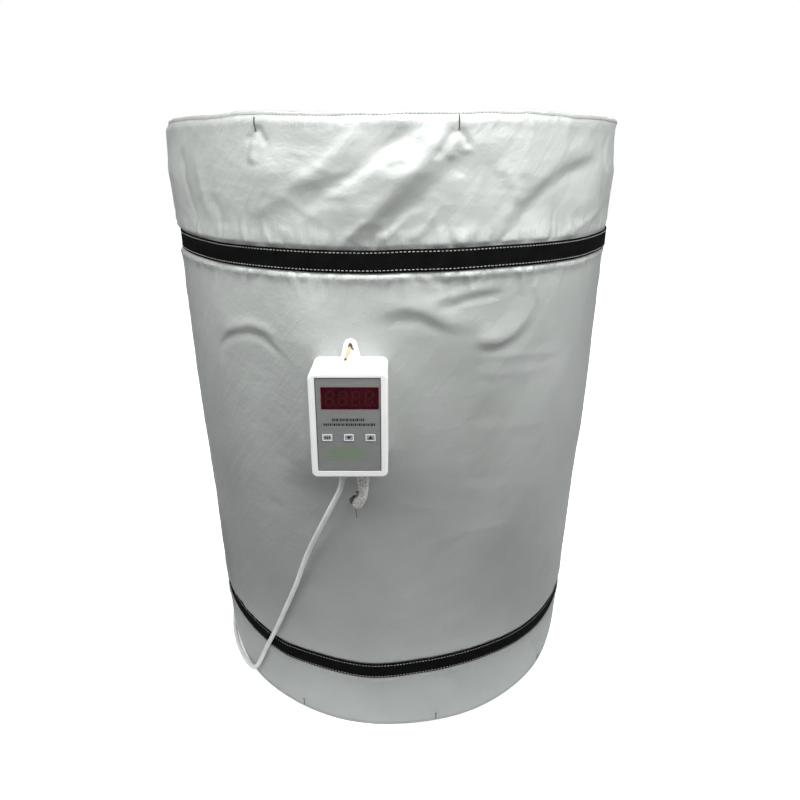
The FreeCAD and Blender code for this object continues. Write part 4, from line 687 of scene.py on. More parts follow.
# The same kind of folds round the sides and the back, which the photograph doesn't show
OTHER_FOLDS = [
    ([(78, 838), (84, 800), (95, 762), (110, 724)], 3.6, 10, 14),
    ([(92, 836), (99, 800), (108, 770)], -2.4, 8, 8),
    ([(128, 836), (134, 804), (150, 770)], 2.8, 10, 12),
    ([(-84, 838), (-92, 806), (-100, 760), (-112, 724)], 3.6, 12, 10),
    ([(-104, 834), (-112, 800), (-124, 768)], -2.6, 8, 8),
    ([(-140, 836), (-146, 800), (-156, 760)], 2.4, 10, 10),
    ([(70, 640), (84, 652), (96, 630), (112, 612)], 2.4, 12, 7),
    ([(-72, 622), (-86, 646), (-100, 640), (-118, 606)], 2.4, 7, 12),
    ([(120, 560), (138, 540), (152, 500)], 1.4, 10, 10),
    ([(-124, 480), (-140, 450), (-154, 400)], 1.4, 10, 10),
    ([(72, 420), (96, 380), (118, 360)], 1.2, 10, 10),
    ([(-76, 300), (-98, 330), (-120, 320)], 1.2, 10, 10),
    ([(96, 240), (120, 260), (140, 230)], 1.0, 10, 10),
    ([(88, 94), (94, 60), (100, 20)], -1.4, 6, 6),
    ([(-92, 94), (-98, 60), (-104, 20)], -1.4, 6, 6),
    ([(134, 92), (138, 50)], 1.2, 7, 7),
    ([(-134, 92), (-138, 50)], 1.2, 7, 7),
]


# Rows of puckers: the strap and the offset from it, or the height, then way, reach and height
PUCKER_ROWS = [("upper", 13.5, 1, 32, 2.3), ("upper", -13.5, -1, 28, 1.9), ("lower", 13.5, 1, 20, 1.0),
               ("lower", -13.5, -1, 22, 1.0), (None, HEIGHT - 5, -1, 12, 0.5), (None, 3.0, 1, 14, 0.45)]


def puckers():
    """Small upright gathers where the straps pull the cloth in, and at the edges."""
    total = np.zeros_like(ARC)
    rng = np.random.default_rng(41)
    for name, offset, way, reach, height in PUCKER_ROWS:
        place = -172.0
        while place < 172.0:
            z = offset + (STRAP_Z[name] + strap_shift(name, math.radians(place)) if name else 0.0)
            size = height * (0.3 + 1.0 * rng.random() ** 1.7)
            length = reach * (0.35 + 0.9 * rng.random())
            lean = rng.normal(0, 1.2)
            width = 2.4 + 1.8 * rng.random()
            line = [(place + lean * s, z + way * length * s) for s in (0, 0.5, 1)]
            part = fold(line, -size if rng.random() < 0.55 else size, width, width, 0)
            share = np.clip(1 - (ZED - z) * way / (length * 1.15), 0, 1)
            total += part * share
            place += 1.2 + 1.6 * rng.random()
    return total


# Waves of the faint crumpling: seed, turn, length and width of one, height
CRUMPLES = [(3, 0.35, 120, 34, 0.55), (7, -0.5, 90, 26, 0.40), (11, 0.9, 60, 18, 0.26),
            (13, -0.15, 44, 12, 0.16), (17, 1.3, 150, 50, 0.6)]


def crumple():
    """Faint crumpling of the coated cloth, stronger in the upper band and near the foot."""
    total = np.zeros_like(ARC)
    for seed, turn, long, short, height in CRUMPLES:
        c, s = math.cos(turn), math.sin(turn)
        u = (ARC * c + ZED * s) / long + 64.0
        v = (-ARC * s + ZED * c) / short + 64.0
        wave = lattice(u, v, seed)
        total += height * (1 - np.abs(2 * wave - 1)) ** 2 - height * 0.33
    level = 0.75 + 0.7 * bell(ZED - 790, 70) + 0.4 * bell(ZED - 50, 50)
    return total * level


def near_case():
    """1 behind the case and round the eyelet, where the cloth lies flat; 0 elsewhere."""
    x = -314.0 * np.tan(np.clip(THETA, -1.2, 1.2))
    over = np.hypot(np.clip(np.abs(x - CASE_X) - 43, 0, None),
                    np.clip(np.maximum(CASE_Z - 62 - ZED, ZED - CASE_Z - 84), 0, None))
    hole = np.hypot((THETA - EYELET[0]) * MEAN_RADIUS, ZED - EYELET[1])
    return np.maximum(bell(over, 14), bell(np.clip(hole - 11, 0, None), 7))


def near_strap(name):
    """1 under a strap, falling to 0 a little beyond its edges."""
    share = np.clip((np.abs(STRAP_OFF[name]) - STRAP_HALF) / 5.0, 0, 1)
    return 1 - share ** 2 * (3 - 2 * share)


# How far the cloth stands out on its left, and in on its right, at heights
LEFT_OUT = [(0, 0.3), (300, 0.8), (480, 1.3), (640, 1.7), (730, 1.2), (790, 2.2), (HEIGHT, 2.0)]
RIGHT_IN = [(0, 0.4), (300, 0.7), (480, 1.5), (640, 2.2), (720, 2.6), (760, 4.0), (790, 4.8), (HEIGHT, 4.2)]


def leaning():
    """The blanket bulges out a little on the left and is drawn in on the right."""
    turned = np.degrees(THETA)
    left = between(LEFT_OUT, ZED) * bell(turned + 74, 24)
    return left - between(RIGHT_IN, ZED) * bell(turned - 74, 24)


# The folds' heights are multiplied by a gain, which is more in the upper band
BAND_FROM, BAND_GAIN, FOLD_GAIN = 715, 1.4, 0.95
# Outside radius of the felt at heights, and how far the cloth stays clear of it
FELT_OUTSIDE = [(30, 298.6), (130.5, 300.1), (679.5, 311.4), (820, 311.4)]
FELT_CLEAR = 0.8


def cover_surface():
    """Radius of the finished cloth: the calm surface, its folds and the straps' seats."""
    calm = smoothed(base_surface(), 5)
    lift = crumple() + puckers() + leaning()
    for line, size, *more in SEEN_FOLDS + OTHER_FOLDS:
        lift += fold(line, size * (BAND_GAIN if line[0][1] > BAND_FROM else FOLD_GAIN), *more)
    closure = np.clip((math.pi - np.abs(THETA)) * CLOSURE_RADIUS / 90 - 0.9, 0, 1)
    edge = np.clip(ZED / 10, 0.25, 1) * np.clip((HEIGHT - ZED) / 10, 0.25, 1)
    lift *= (1 - near_case()) * closure * edge
    lift += 0.55 * bell(ZED - HEIGHT + 1.2, 1.6) - 0.5 * bell(ZED - HEIGHT + 4.2, 1.5)
    full = calm + np.clip(lift, -7, 7)
    felt = between(FELT_OUTSIDE, ZED) + FELT_CLEAR
    full = np.where((ZED > 26) & (ZED < 824), np.maximum(full, felt), full)
    uneven = 0.3 + 1.1 * lattice(ARC / 21.0 + 64.0, ZED * 0 + 3.5, 23)
    for name in STRAP_Z:
        share = near_strap(name)
        seat = SEAT_RADIUS[name] - 0.5 - 0.25 * np.abs(np.sin(ARC / 3.1))
        reach = np.where(STRAP_OFF[name] > 0, 13.0, 6.0)
        beyond = np.abs(STRAP_OFF[name]) - STRAP_HALF - reach
        bulge = 1.25 * uneven * bell(beyond, 0.72 * reach) * closure
        full = full * (1 - share) + np.minimum(seat, calm) * share + bulge * (1 - share)
    return full


SURFACE = cover_surface()

# Height of the top edge over its own height, round the axis in degrees
TOP_EDGE = [(-180, 0), (-80, -0.6), (-56, -1.2), (-48, -1.4), (-42, -3.2), (-37, -2.0), (-31.6, -0.6),
            (-25.7, -1.5), (-20, -2.6), (-15, -4.0), (-10.7, -4.4), (-4, -3.9), (2.7, -3.1), (11.6, -2.6),
            (16.4, -1.3), (21.4, -1.2), (26.8, 0.2), (33, -0.8), (40.5, -2.0), (52, -1.0), (66, 0.0),
            (80, -0.5), (180, 0)]
LOW_REST = 1.9


def edge_shift(angle, z):
    """How far the cloth at a height moves with the uneven top and bottom edges, in mm."""
    top = between(TOP_EDGE, np.degrees(angle))
    top = top + 0.22 * np.sin(23 * angle) + 0.18 * np.sin(41 * angle + 0.6)
    low = LOW_REST + 1.0 * np.sin(4.2 * angle) + 0.8 * np.sin(9.7 * angle + 0.7)
    return top * np.exp(-(HEIGHT - z) / 60.0) + low * np.exp(-z / 40.0)


def gathered():
    """How much the cloth is gathered: 1 at the edges of the straps, falling off unevenly."""
    share = np.zeros_like(ARC)
    uneven = 0.5 + 1.1 * lattice(ARC / 26.0 + 64.0, ZED * 0 + 9.5, 29)
    for name, above, below in (("upper", 13.0, 10.0), ("lower", 9.0, 9.0)):
        off = np.abs(STRAP_OFF[name]) - STRAP_HALF
        reach = np.where(STRAP_OFF[name] > 0, above, below) * uneven
        share = np.maximum(share, np.exp(-(np.clip(off, 0, None) / reach) ** 1.5))
    hem = 0.35 * bell(HEIGHT - 6 - ZED, 9.0) + 0.3 * bell(ZED - 5, 8.0)
    return np.clip(share + hem, 0, 1).astype(np.float32)


def panel_end(rings, column, side, start):
    """Two columns of points that close the cloth at a panel end, with their lengths and faces."""
    total, cols = rings.shape[:2]
    angle = float(ANGLES[column])
    points, uv, faces = [], [], []
    for place in rings[:, column]:
        radius = math.hypot(place[0], place[1]) / MM
        middle = (radius * 0.35 + BORE * 0.65) if radius > BORE + 2 else radius
        z = place[2] / MM
        points += [polar(middle, angle + side * 0.0012, z), polar(BORE + 0.05, angle, z)]
        uv += [(angle * MEAN_RADIUS * MM + side * width, place[2]) for width in (0.006, 0.012)]
    for i in range(total - 1):
        a, b = i * cols + column, (i + 1) * cols + column
        m = start + 2 * i
        faces += [(a, b, m + 2, m), (m, m + 2, m + 3, m + 1)]
    return points, uv, faces


def make_cover():
    """Cloth shell: outside, rolled top and bottom edges, hems inside and the panel ends."""
    z = np.clip(ZED + edge_shift(THETA, ZED), 0.0, HEIGHT + 2.0)
    rows, cols = SURFACE.shape
    top_r, top_z, low_r, low_z = SURFACE[-1], z[-1], SURFACE[0], z[0]
    head = [(top_r - 0.7, top_z + 0.5), (top_r - 2.0, top_z + 0.75), (top_r - 3.4, top_z + 0.3),
            ((top_r + BORE) / 2, top_z - 0.6), (BORE + 1.2, top_z - 0.2), (BORE + 0.1, top_z - 1.2),
            (BORE + 0.05, HEIGHT - 6.4)]
    foot = [(BORE + 0.05, 6.4), (BORE + 0.1, low_z + 1.0), (BORE + 1.2, low_z + 0.05),
            ((low_r + BORE) / 2, low_z + 0.1), (low_r - 1.6, low_z)]
    rings = [polar_grid(r, ANGLES, h) for r, h in foot]
    rings += list(polar_grid(SURFACE, THETA, z))
    rings = np.array(rings + [polar_grid(r, ANGLES, h) for r, h in head])
    quads = grid_faces(len(rings), cols)
    outside = slice(len(foot), len(foot) + rows)
    from_eyelet = np.hypot((THETA - EYELET[0]) * EYELET_FACE, ZED - EYELET[1])
    eyelet = np.zeros((len(rings), cols), bool)
    eyelet[outside] = from_eyelet < EYELET_HOLE
    faces = list(quads[~eyelet.ravel()[quads[:, 0]]])
    heights = [np.mean(h) for _, h in foot] + list(HEIGHTS) + [HEIGHT + 3 * i for i in range(len(head))]
    uv = list(zip(np.tile(ANGLES * MEAN_RADIUS * MM, len(rings)), np.repeat(np.array(heights) * MM, cols)))
    points = list(rings.reshape(-1, 3))
    for side, column in ((-1, 0), (1, cols - 1)):
        end_points, end_uv, end_faces = panel_end(rings, column, side, len(points))
        points += end_points
        uv += end_uv
        faces += end_faces
    obj = new_mesh("cover_cloth", points, faces, COVER)
    gather = np.zeros((len(rings), cols), np.float32)
    gather[outside] = gathered()
    gather = np.append(gather, np.zeros(len(points) - gather.size, np.float32))
    obj.data.attributes.new("gather", "FLOAT", "POINT").data.foreach_set("value", gather)
    set_uv(obj, uv)
    fix_normals(obj)
    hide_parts("outer_cover")


make_cover()


def cloth_radius(angle, z):
    """Radius of the finished cloth at a place, in millimetres."""
    col = int(np.clip(np.searchsorted(ANGLES, angle) - 1, 0, len(ANGLES) - 2))
    row = int(np.clip(np.searchsorted(HEIGHTS, z) - 1, 0, len(HEIGHTS) - 2))
    across = np.clip((angle - ANGLES[col]) / (ANGLES[col + 1] - ANGLES[col]), 0, 1)
    up = np.clip((z - HEIGHTS[row]) / (HEIGHTS[row + 1] - HEIGHTS[row]), 0, 1)
    low, high = SURFACE[row:row + 2, col] * (1 - across) + SURFACE[row:row + 2, col + 1] * across
    return float(low * (1 - up) + high * up)


# Stitches

STITCH_SHAPE = [(0.0, 0.25), (0.2, 0.9), (0.5, 1.0), (0.8, 0.9), (1.0, 0.25)]
STITCH_SIDES = 5


def stitch_mesh(name, lines, material, length, pitch, wide, tall):
    """Rows of short raised stitches along lines of (point, outward) pairs in millimetres."""
    verts, faces = [], []
    for line in lines:
        points, outs = (np.array(values, float) for values in zip(*line))
        run = run_along(points)
        start = pitch / 2
        while start + length < run[-1]:
            faces += list(grid_faces(len(STITCH_SHAPE), STITCH_SIDES, True, len(verts)))
            for share, size in STITCH_SHAPE:
                s = start + share * length
                centre = place_at(run, points, s)
                out = unit(place_at(run, outs, s))
                side = np.cross(out, unit(place_at(run, points, s + 0.5) - place_at(run, points, s - 0.5)))
                for k in range(STITCH_SIDES):
                    turn = 2 * math.pi * k / STITCH_SIDES
                    lift = tall * size * (0.55 + 0.75 * math.sin(turn))
                    verts.append((centre + out * lift + side * wide * size * math.cos(turn)) * MM)
            start += pitch
    new_mesh(name, verts, faces, material)


def out_at(angle):
    return np.array((math.sin(angle), -math.cos(angle), 0.0))


def edge_line(height):
    """Line round the cloth at a height, moved with its edges, with the outward direction."""
    return [(np.array(polar(cloth_radius(a, height), a, height + edge_shift(a, height))) / MM, out_at(a))
            for a in ANGLES]


# Edge stitches at the top and the foot; their dark thread also paints the shadow line along the top rim
stitch_mesh("edge_stitches_and_shade", [edge_line(HEIGHT - 3.4), edge_line(5.0)], EDGE_THREAD_AND_SHADE, 2.8, 4.2, 0.36, 0.26)


# Straps and closure: a place there is an arc in millimetres from the middle of the gap

STRAP_THICK = 1.8
FLAP_THICK = 2.0
FLAP_SEWN, FLAP_FREE = 34, -56
RISE_FROM, RISE_TO = -6, -8
TAB_LENGTH, RING_INSIDE, RING_WIRE = 26, 11, 1.5
RING_CLEAR = 0.4
RING_SEAT = {"upper": 316.303, "lower": 305.238}
RING_ARC = FLAP_FREE - RING_INSIDE - 2 * RING_WIRE
STRAP_START = FLAP_FREE - TAB_LENGTH - 3 * RING_INSIDE
WEBBING_PROFILE = [
    (-12.4, 0.0), (-12.2, 0.6), (-11.4, 0.9), (-6.5, 0.84), (-2.2, 0.9), (2.2, 0.84), (6.5, 0.9),
    (11.4, 0.86), (12.2, 0.6), (12.4, 0.0), (12.2, -0.6), (11.4, -0.86), (0, -0.86), (-11.4, -0.86),
    (-12.2, -0.6)]


def back(arc):
    """Angle of a place at the closure, by its arc."""
    return math.pi - arc / SHELF


def stretch(stations, step=3.0):
    """Points between (angle, radius) stations at about one step, without the first."""
    out = []
    for (a0, r0), (a1, r1) in zip(stations, stations[1:]):
        count = max(2, math.ceil(abs(a1 - a0) * r0 / step))
        for k in range(1, count + 1):
            out.append(polar(r0 + (r1 - r0) * k / count, a0 + (a1 - a0) * k / count, 0))
    return out


def strap_path(name, least=0.0012):
    """Middle line of a strap: round the cover, over the closure flap, through the ring and
    back on itself; places nearer than least to the one before are left out."""
    seat = SEAT_RADIUS[name] + 0.95
    depth = RING_SEAT[name] + STRAP_THICK + RING_CLEAR + RING_WIRE
    on_flap = RING_SEAT[name] + FLAP_THICK + 0.3 + STRAP_THICK / 2
    on_grip = on_flap + 2.6
    leave = back(FLAP_SEWN + 12)
    path = [polar(seat, a, 0) for a in np.linspace(back(STRAP_START) - 2 * math.pi, leave, 260)]
    under = [(leave, seat), (back(34.3), on_flap), (back(12), on_flap), (back(RISE_FROM), on_grip),
             (back(FLAP_FREE), on_grip)]
    path += stretch(under)
    for step in range(13):
        swing = math.pi * step / 12
        radius = depth - 2.8 * math.cos(swing)
        path.append(polar(radius, back(RING_ARC) + (2.8 * math.sin(swing) - 7.0) / radius, 0))
    over = [(angle, radius + 2.1) for angle, radius in reversed(under[1:])]
    path += [polar(over[0][1], over[0][0], 0)] + stretch(over)
    keep = [np.array(path[0])]
    for point in path[1:]:
        if np.linalg.norm(point - keep[-1]) > least:
            keep.append(np.array(point))
    return np.array(keep)


def make_strap(name):
    """Woven strap with soft selvedges and two rows of stitches."""
    path = strap_path(name)
    run = run_along(path)
    verts, uvs, rows = [], [], []
    for point, heading, length in zip(path, unit(np.gradient(path, axis=0)), run):
        side = np.array((heading[1], -heading[0], 0.0))
        middle = STRAP_Z[name] + strap_shift(name, math.atan2(point[0], -point[1]))
        for across, out in WEBBING_PROFILE:
            verts.append(point + side * out * MM + np.array((0, 0, (middle + across) * MM)))
            uvs.append((length, across * MM))
        rows.append((point / MM + side * 0.86, side, middle))
    size = len(WEBBING_PROFILE)
    faces = list(grid_faces(len(path), size, True))
    faces += [range(size)[::-1], range(len(verts) - size, len(verts))]
    obj = new_mesh(name + "_webbing", verts, faces, WEBBING)
    set_uv(obj, uvs)
    fix_normals(obj)
    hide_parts(name + "_strap")
    lines = [[(place + np.array((0, 0, middle + across)), side) for place, side, middle in rows]
             for across in (-9.6, 9.6)]
    stitch_mesh(name + "_strap_stitches", lines, LIGHT_THREAD, 2.9, 4.6, 0.50, 0.34)


for name in STRAP_Z:
    make_strap(name)

# Thickness of the calm wall at heights, in millimetres
WALL_POINTS = [(0, 8), (26, 12.4), (93.5, 14.4), (130.5, 15.4), (209, 17.4), (287, 18.6), (366, 21),
               (444, 23.4), (523, 25.2), (601, 25.6), (679.5, 25.8), (716.5, 26.4), (788, 29), (816, 27.8),
               (839, 27), (850, 24)]


def calm_wall(z):
    """Radius of the calm cover near the closure."""
    return BORE + float(between(WALL_POINTS, z)) + 0.1


def two_layers(rows, columns):
    """Faces of a grid of points and of the same grid turned over, behind it."""
    return list(grid_faces(rows, columns)) + list(grid_faces(rows, columns, start=rows * columns)[:, ::-1])


def band(name, arcs, z0, z1, lifts, material, columns, rows, wave, replaces, slot):
    """Soft strip that follows the calm cover, with rounded edges; lifts are those of its two
    sides over the cover, the outer one first, as functions of the share across."""
    start, end = (back(arc) for arc in arcs)
    verts, uvs = [], []
    for lift, way in zip(lifts, (1, -1)):
        for z in np.linspace(z0, z1, rows):
            for share in np.linspace(0, 1, columns):
                angle = start + (end - start) * share
                near = min(share, 1 - share) * abs(end - start) * SHELF
                round_off = 0.3 * math.exp(-min(near, z - z0, z1 - z) / 0.7) * way
                sway = wave * math.sin(z / 31.0 + 5 * share) * math.sin(z / 73.0) * (0.3 + 0.7 * share)
                verts.append(polar(calm_wall(z) + lift(share) - round_off + sway, angle, z))
                uvs.append((angle * SHELF * MM, z * MM))
    size = rows * columns
    numbers = np.arange(size).reshape(rows, columns)
    rim = [*numbers[0], *numbers[1:, -1], *numbers[-1, -2::-1], *numbers[-2:0:-1, 0]]
    faces = two_layers(rows, columns)
    faces += [(rim[i], rim[i - 1], rim[i - 1] + size, rim[i] + size) for i in range(len(rim))]
    obj = new_mesh(name, verts, faces, material)
    set_uv(obj, uvs)
    fix_normals(obj)
    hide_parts(replaces)
    return obj


def flap_lift(share):
    """Lift of the flap's inside, which climbs over the strips between two arcs."""
    low, high = ((FLAP_SEWN - arc) / (FLAP_SEWN - FLAP_FREE) for arc in (RISE_FROM, RISE_TO))
    return 2.6 * float(np.clip((share - low) / (high - low), 0, 1))


flap = band("closure_flap_cloth", (FLAP_SEWN, FLAP_FREE), 12.0, 816.0,
            (lambda s: flap_lift(s) + FLAP_THICK, flap_lift), COVER,
            46, 220, 0.25, "closure_flap", "cover_fabric")
band("loop_strip_cloth", (-25, -50), 18.0, 810.0, (lambda s: 1.18, lambda s: 0.02), LOOP,
     8, 90, 0.0, "panel_loop_strip", "webbing")
band("hook_strip_cloth", (-25, -50), 18.0, 810.0, (lambda s: 2.48, lambda s: 1.32), HOOK,
     8, 90, 0.0, "flap_hook_strip", "webbing")


def upright_line(arc, lift):
    """Line up the flap for its stitches."""
    angle = back(arc)
    heights = np.linspace(16, 812, 160)
    return [(np.array(polar(calm_wall(z) + lift, angle, z)) / MM, out_at(angle)) for z in heights]


stitch_mesh("flap_stitches", [upright_line(31, 1.9), upright_line(-22, 4.55), upright_line(-53, 4.5)],
            GREY_THREAD, 3.0, 4.6, 0.4, 0.3)


def webbing_copy(name, node_name, lengths, softness):
    """Webbing piece with the form of a node and soft edges; lengths gives its two lengths."""
    obj = add_object(name, NODES[node_name].data.copy())
    obj.data.materials.clear()
    obj.data.materials.append(WEBBING)
    set_uv(obj, [lengths(v.co) for v in obj.data.vertices])
    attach(obj, "root")
    bevel = obj.modifiers.new("soft edges", "BEVEL")
    bevel.width = softness
    bevel.segments = 2
    bevel.limit_method = "ANGLE"
    bevel.angle_limit = math.radians(40)
    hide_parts(node_name)
    return obj


for name in STRAP_Z:
    webbing_copy(name + "_tab_webbing", name + "_ring_tab",
                 lambda p: (math.atan2(p.x, -p.y) * CLOSURE_RADIUS * MM, p.z), 0.0004)


CHANNELS = 20


def make_lining():
    """Lining cloth of the bore, with the stitched channels that hold the heater."""
    end = math.radians(LAST) - 0.013
    angles = np.linspace(-end, end, 313)
    zs = np.linspace(6.0, HEIGHT - 6.0, 142)
    pitch = 2 * math.pi / CHANNELS
    verts, uvs = [], []
    for layer in (0, 1):
        for z in zs:
            for angle in angles:
                channel = abs(math.sin((angle - EYELET[0]) / pitch * math.pi + math.pi / 2))
                quilt = 0.45 * (1 - channel ** 6) + 0.12 * math.sin(z / 17.0 + 9 * angle) * math.sin(z / 41.0)
                verts.append(polar(BORE + 0.06 + max(0.0, quilt) * 0.9 + layer * 0.35, angle, z))
                uvs.append((angle * BORE * MM, z * MM))
    obj = new_mesh("lining_cloth", verts, two_layers(len(zs), len(angles)), LINING)
    set_uv(obj, uvs)
    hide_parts("inner_lining")


make_lining()


# Tacks at the edges, and a dark strand that paints the shade in the slit under the eyelet

def tack(degrees, z0, z1):
    """One sewn tack: two strands over the edge and a small loop at its end."""
    angle = math.radians(degrees)
    at_top = z0 > HEIGHT / 2
    lines = []
    for shift in (-0.3, 0.3):
        lines.append([polar(cloth_radius(angle, z) + 0.2 + 0.3 * math.sin(math.pi * (z - z0) / (z1 - z0)),
                            angle + shift / MEAN_RADIUS, z) for z in np.linspace(z0, z1, 9)])
    loop = []
    for k in range(13):
        turn = 2 * math.pi * k / 12
        z = z0 - 1 + math.cos(turn) if at_top else z1 + 1 - math.cos(turn)
        loop.append(polar(cloth_radius(angle, z) + 0.5, angle + math.sin(turn) / MEAN_RADIUS, z))
    return lines + [loop]


tack_lines = []
for degrees in (-27.8, 12.2):
    tack_lines += tack(degrees, HEIGHT - 19.0, HEIGHT - 7.0)
for degrees in (-27.6, 12.4, 54.8):
    tack_lines += tack(degrees, 6.0, 18.0)
tacks = joined_tubes("tack_threads", tack_lines, 0.00032, DARK_THREAD_AND_SHADE)
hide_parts("tack_stitches")

# painted shade: a thin dark strand along the slit stands for the shade inside it
SLIT_ANGLE, SLIT_FROM, SLIT_TO = -8.7, 370.0, 385.0
slit = [polar(cloth_radius(math.radians(SLIT_ANGLE), z) + 0.05,
              math.radians(SLIT_ANGLE - 0.02 * (z - SLIT_FROM)), z)
        for z in np.linspace(SLIT_FROM, SLIT_TO, 12)]
joined_tubes("slit_shade_strand", [slit], 0.00040, DARK_THREAD_AND_SHADE)


# Controller front

def flat_pieces(name, shapes, y, material, thick=0.06, body="root"):
    """Thin flat shapes on the panel, print and painted shade: each is a list of (x, z) corners
    in millimetres from the middle of the case."""
    verts, faces = [], []
    for corners in shapes:
        start, n = len(verts), len(corners)
        for depth in (0.0, -thick):
            verts += [((CASE_X + x) * MM, (y + depth) * MM, (CASE_Z + z) * MM) for x, z in corners]
        faces.append(range(start + n, start + 2 * n))
        faces += [(start + i, start + (i + 1) % n, start + n + (i + 1) % n, start + n + i) for i in range(n)]
    obj = new_mesh(name, verts, faces, material, smooth=False, body=body)
    fix_normals(obj)


def bar(x0, z0, x1, z1):
    return [(x0, z0), (x1, z0), (x1, z1), (x0, z1)]


def frame_bars(x0, z0, x1, z1, wide):
    """Outline of a box as four bars."""
    return [bar(x0, z0, x1, z0 + wide), bar(x0, z1 - wide, x1, z1),
            bar(x0, z0 + wide, x0 + wide, z1 - wide), bar(x1 - wide, z0 + wide, x1, z1 - wide)]


def word_bars(x0, x1, z, tall, widths, space=0.75):
    """A line of print as plain bars of differing lengths."""
    out, x = [], x0
    while x < x1:
        end = min(x + widths[len(out) % len(widths)], x1)
        out.append(bar(x, z, end, z + tall))
        x = end + space
    return out


def digit_segments(x, z, wide, tall, thick, lean=0.09):
    """Seven bars of one digit, leaning a little."""
    low, high = z + tall / 2 - thick / 2, z + tall / 2 + thick / 2
    boxes = [bar(x + thick, z, x + wide - thick, z + thick), bar(x + thick, low, x + wide - thick, high),
             bar(x + thick, z + tall - thick, x + wide - thick, z + tall)]
    for left in (x, x + wide - thick):
        boxes.append(bar(left, z + thick, left + thick, low))
        boxes.append(bar(left, high, left + thick, z + tall - thick))
    return [[(px + (pz - z) * lean, pz) for px, pz in box] for box in boxes]


def make_panel_marks():
    """A painted shadow line round the film's edge, the window's rim, its digits and the two lines of print.
    """
    x0, z0, x1, z1 = PANE_BOX
    # painted shade: a thin dark frame at the film's edge stands for the shadow line where the film meets the
    # case
    panel = frame_bars(-35.4, PANEL_RISE - 55.4, 35.4, PANEL_RISE + 55.4, 0.55)
    flat_pieces("panel_edge_shade", panel, OVERLAY_Y, DARK_PRINT_AND_SHADE)
    flat_pieces("window_rim", frame_bars(x0 - 0.9, z0 - 0.9, x1 + 0.9, z1 + 0.9, 0.6), OVERLAY_Y, SEGMENT_RIM)
    words = word_bars(-18.0, 17.5, 6.7, 3.2, (1.7, 1.2, 2.1, 0.8, 1.6))
    words += word_bars(-27.5, 29.5, 1.3, 2.9, (1.4, 2.0, 1.1, 1.7, 0.8, 2.3))
    flat_pieces("text_bars", words, OVERLAY_Y, DARK_PRINT_AND_SHADE)
    segments = []
    for x in (x0 + 3.6, x0 + 17.8, x0 + 32.0, x0 + 46.2):
        segments += digit_segments(x, z0 + 3.6, 9.6, 17.8, 1.9)
        segments.append(bar(x + 11.0, z0 + 3.4, x + 12.8, z0 + 5.2))
    flat_pieces("window_digits", segments, OVERLAY_Y, SEGMENT, 0.03)


def make_key_marks(body, x, glyph):
    """The sign on a key and its pale rim, which ride on the key."""
    marks = [[(x + u, KEY_RISE + v) for u, v in shape] for shape in glyph]
    flat_pieces(body + "_mark", marks, OVERLAY_Y - 0.7, DARK_PRINT_AND_SHADE, 0.05, body)
    rim = frame_bars(x - 5.45, KEY_RISE - 3.95, x + 5.45, KEY_RISE + 3.95, 0.95)
    flat_pieces(body + "_rim", rim, OVERLAY_Y - 0.7, PALE_INK, 0.05, body)


make_panel_marks()
make_key_marks("set_key", -KEY_STEP, [bar(left, -1.3, left + 1.6, 1.3) for left in (-3.2, -0.8, 1.6)])
make_key_marks("down_key", 0.0, [[(-2.8, 1.5), (2.8, 1.5), (0, -2.2)], bar(-2.9, 2.0, 2.9, 2.5)])
make_key_marks("up_key", KEY_STEP, [[(-2.8, -1.5), (2.8, -1.5), (0, 2.2)], bar(-2.9, -2.5, 2.9, -2.0)])


# Lead and tie

def nurbs_object(name, points, resolution):
    """Smooth NURBS curve through a route of control points in millimetres."""
    data = bpy.data.curves.new(name, "CURVE")
    data.dimensions = "3D"
    data.resolution_u = resolution
    spline = data.splines.new("NURBS")
    spline.points.add(len(points) - 1)
    for point, place in zip(spline.points, points):
        point.co = (*[c * MM for c in place], 1.0)
    spline.order_u = 3
    spline.use_endpoint_u = True
    return add_object(name, data)


def curve_line(points, count):
    """Points in metres at equal steps along the NURBS curve through a route."""
    obj = nurbs_object("route", points, 14)
    bpy.context.view_layer.update()
    mesh = bpy.data.meshes.new_from_object(obj)
    line = np.array([tuple(v.co) for v in mesh.vertices])
    curve = obj.data
    bpy.data.objects.remove(obj)
    bpy.data.meshes.remove(mesh)
    bpy.data.curves.remove(curve)
    run = run_along(line)
    return place_at(run, line, np.linspace(0, run[-1], count))


# Radius of the braid along its run from the case, both in metres
LEAD_SHAPE = [(0, 0.0075), (0.006, 0.0077), (0.014, 0.0077), (0.022, 0.0070), (0.030, 0.0060),
              (0.038, 0.0053), (0.045, 0.0053), (0.052, 0.0060), (0.059, 0.0062), (0.066, 0.0054),
              (0.072, 0.0043), (0.2, 0.0042)]
LEAD_FACE = 311.4


def make_lead():
    """Sleeved lead: a thick braided root under the case, then down and into the eyelet."""
    angle = EYELET[0]
    ends = [(LEAD_FACE + 24, angle + 0.016, 405), (LEAD_FACE + 12, angle + 0.002, 397.2),
            (LEAD_FACE - 6, angle, 397), (294.4, angle, 397)]
    route = [(-36.5, -340, 460.6), (-36.4, -340, 448), (-36.2, -340, 434), (-36.2, -339.6, 420)]
    route += [tuple(c / MM for c in polar(*end)) for end in ends]
    line = curve_line(route, 120)
    run = run_along(line)
    radius = between(LEAD_SHAPE, run)
    for size, period, phase in ((0.00020, 0.0041, 0.0), (0.00018, 0.0097, 1.0)):
        radius = radius + size * np.sin(run / period * 2 * math.pi + phase)
    obj = sweep("sleeved_lead_braid", line, radius, SLEEVE, 24)
    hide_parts("sleeved_lead")


